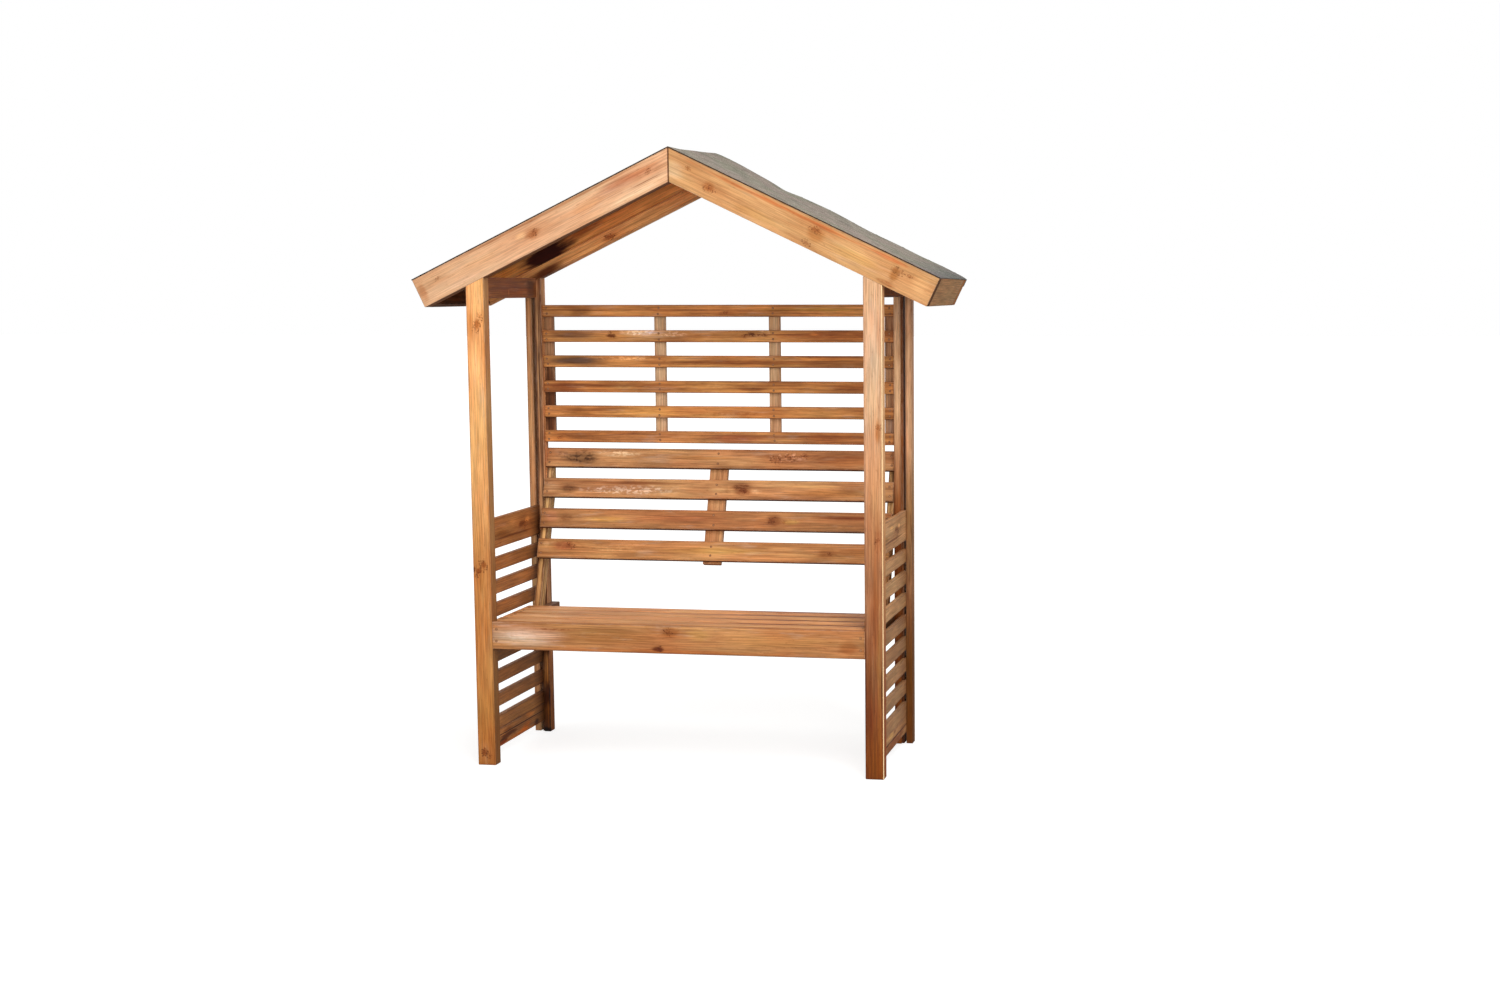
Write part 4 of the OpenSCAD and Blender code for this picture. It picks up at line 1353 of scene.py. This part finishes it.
def add_head(shape, point, outward, radius, crossed=False):
    """A head at a point of a face, with its dimple. A profile's rings give their radius and height."""
    outward = Vector(outward).normalized()
    sideways = outward.orthogonal().normalized()
    upward = outward.cross(sideways)
    profile = screw_profile if crossed else nail_profile
    rings = []
    for spread, rise in profile:
        ring = []
        for k in range(head_sides):
            angle = 2 * math.pi * k / head_sides
            in_cross = crossed and spread < 0.9 and k % 4 == 0
            lift = rise - (cross_depth if in_cross else 0.0)
            turned = sideways * math.cos(angle) + upward * math.sin(angle)
            ring.append(shape.verts.new(Vector(point) + outward * lift + turned * radius * spread))
        rings.append(ring)
    middle = profile[-1][1] - (cross_depth if crossed else -dome_rise)
    top = shape.verts.new(Vector(point) + outward * middle)
    for index, (outer, inner) in enumerate(zip(rings, rings[1:])):
        for k in range(head_sides):
            following = (k + 1) % head_sides
            face = shape.faces.new((outer[k], outer[following], inner[following], inner[k]))
            face.material_index = 1 if index < dimple_rings else 0
            face.smooth = index > dimple_rings
    for k in range(head_sides):
        shape.faces.new((rings[-1][k], rings[-1][(k + 1) % head_sides], top))


def drive(name, heads, metal=steel, dimple=rust_stain):
    """Drives a set of nails or screws, as one piece. heads: point, outward direction, radius, crossed."""
    shape = bmesh.new()
    for head in heads:
        add_head(shape, *head)
    return new_piece(name, shape, metal, dimple)


# %% [markdown]
# ## Where the nails go
# The places come from the boards' own boxes: slat ends, crossings with the stiles and supports, and
# the ends of the bench's boards. A carpenter's nails are never quite in line, so each place is off by
# a millimetre or two, and on the felt by a little more.

# %% Nail the lattice and the backrest
chance = random.Random(11)


def nearly(value, slack=0.0015):
    """A value that is off by a little."""
    return value + chance.uniform(-slack, slack)


heads = []
end_inset = 0.015
nail_radius = 0.0025
low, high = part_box("lattice_slats")
stile_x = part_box("lattice_mid_stiles")[1].x - boards["lattice_mid_stiles"].half.y
for slat_z in boards["lattice_slats"].heights():
    for x in (low.x + end_inset, -stile_x, stile_x, high.x - end_inset):
        for offset in (-0.010, 0.010):
            heads.append(((nearly(x, 0.002), low.y, nearly(slat_z + offset)), (0, -1, 0), nail_radius))
drive("lattice_nails", heads)

heads = []
support_x = 0.603
nail_radius = 0.0026
for number in range(1, 5):
    slat = boards[f"backrest_slat_{number}"]
    face_out = slat.through if slat.through.y < 0 else -slat.through
    face = slat.middle + face_out * slat.half.z
    for x in (-support_x, 0.0, support_x):
        for offset in (-0.017, 0.017):
            point = face + slat.across * nearly(offset) + Vector((nearly(x, 0.002), 0, 0))
            heads.append((point, face_out, nail_radius))
drive("backrest_nails", heads)

# %% Nail the sides
front_inset = 0.014
nail_spread = 0.45
nail_radius = 0.0028
for side_name, side in sides:
    heads = []
    for node in ("side_top_board_" + side_name, "side_slats_" + side_name, "side_bottom_board_" + side_name):
        board = boards[node]
        low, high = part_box(node)
        outer_face = low.x if side < 0 else high.x
        for board_z in board.heights():
            for offset in (-board.half.y * nail_spread, board.half.y * nail_spread):
                point = (outer_face, nearly(low.y + front_inset, 0.002), nearly(board_z + offset))
                heads.append((point, (side, 0, 0), nail_radius))
    drive("side_nails_" + side_name, heads)

# %% Screw the bench down
heads = []
seat_inset = 0.024
seat_screw = 0.0038
front_screw = 0.0036
for number in range(1, 5):
    low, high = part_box(f"seat_board_{number}")
    for x in (low.x + seat_inset, high.x - seat_inset):
        for share in ((0.42, 0.72) if number == 1 else (0.28, 0.72)):
            y = low.y + (high.y - low.y) * share
            heads.append(((nearly(x, 0.001), nearly(y, 0.001), high.z), (0, 0, 1), seat_screw, True))
drive("seat_screws", heads)

end_inset = 0.013
low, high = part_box("seat_front_board")
heads = [((nearly(x, 0.001), low.y, nearly(z, 0.001)), (0, -1, 0), front_screw, True)
         for x in (low.x + end_inset, high.x - end_inset) for z in (low.z + 0.028, low.z + 0.066)]
drive("front_board_screws", heads)

# %% [markdown]
# ## The felt's clout nails
# Felt is held by short nails with wide flat heads, a hand's width apart along its edges. They sit on
# the felt's upper face, so their places come from the same wave as the felt. They are zinc, and grit
# lies round their heads.

# %% Nail the felt down
heads = []
nail_count = 10
nail_radius = 0.0045
eaves_inset = 0.045
for _, side in sides:
    slope_out = Vector((side * math.sin(roof_pitch), 0, math.cos(roof_pitch)))
    places = []
    for number in range(nail_count):
        from_ridge = nearly((number + 0.5) * felt_end / nail_count, 0.006)
        places += [(from_ridge, 0.028), (from_ridge, 0.972)]
    places += [(felt_end - eaves_inset, nearly(back, 0.01)) for back in (0.2, 0.4, 0.6, 0.8)]
    for from_ridge, back in places:
        head_place = felt_point(side, from_ridge, back) + slope_out * felt_thick
        heads.append((head_place, slope_out, nail_radius))
felt_nails = drive("felt_nails", heads, zinc, gritted)
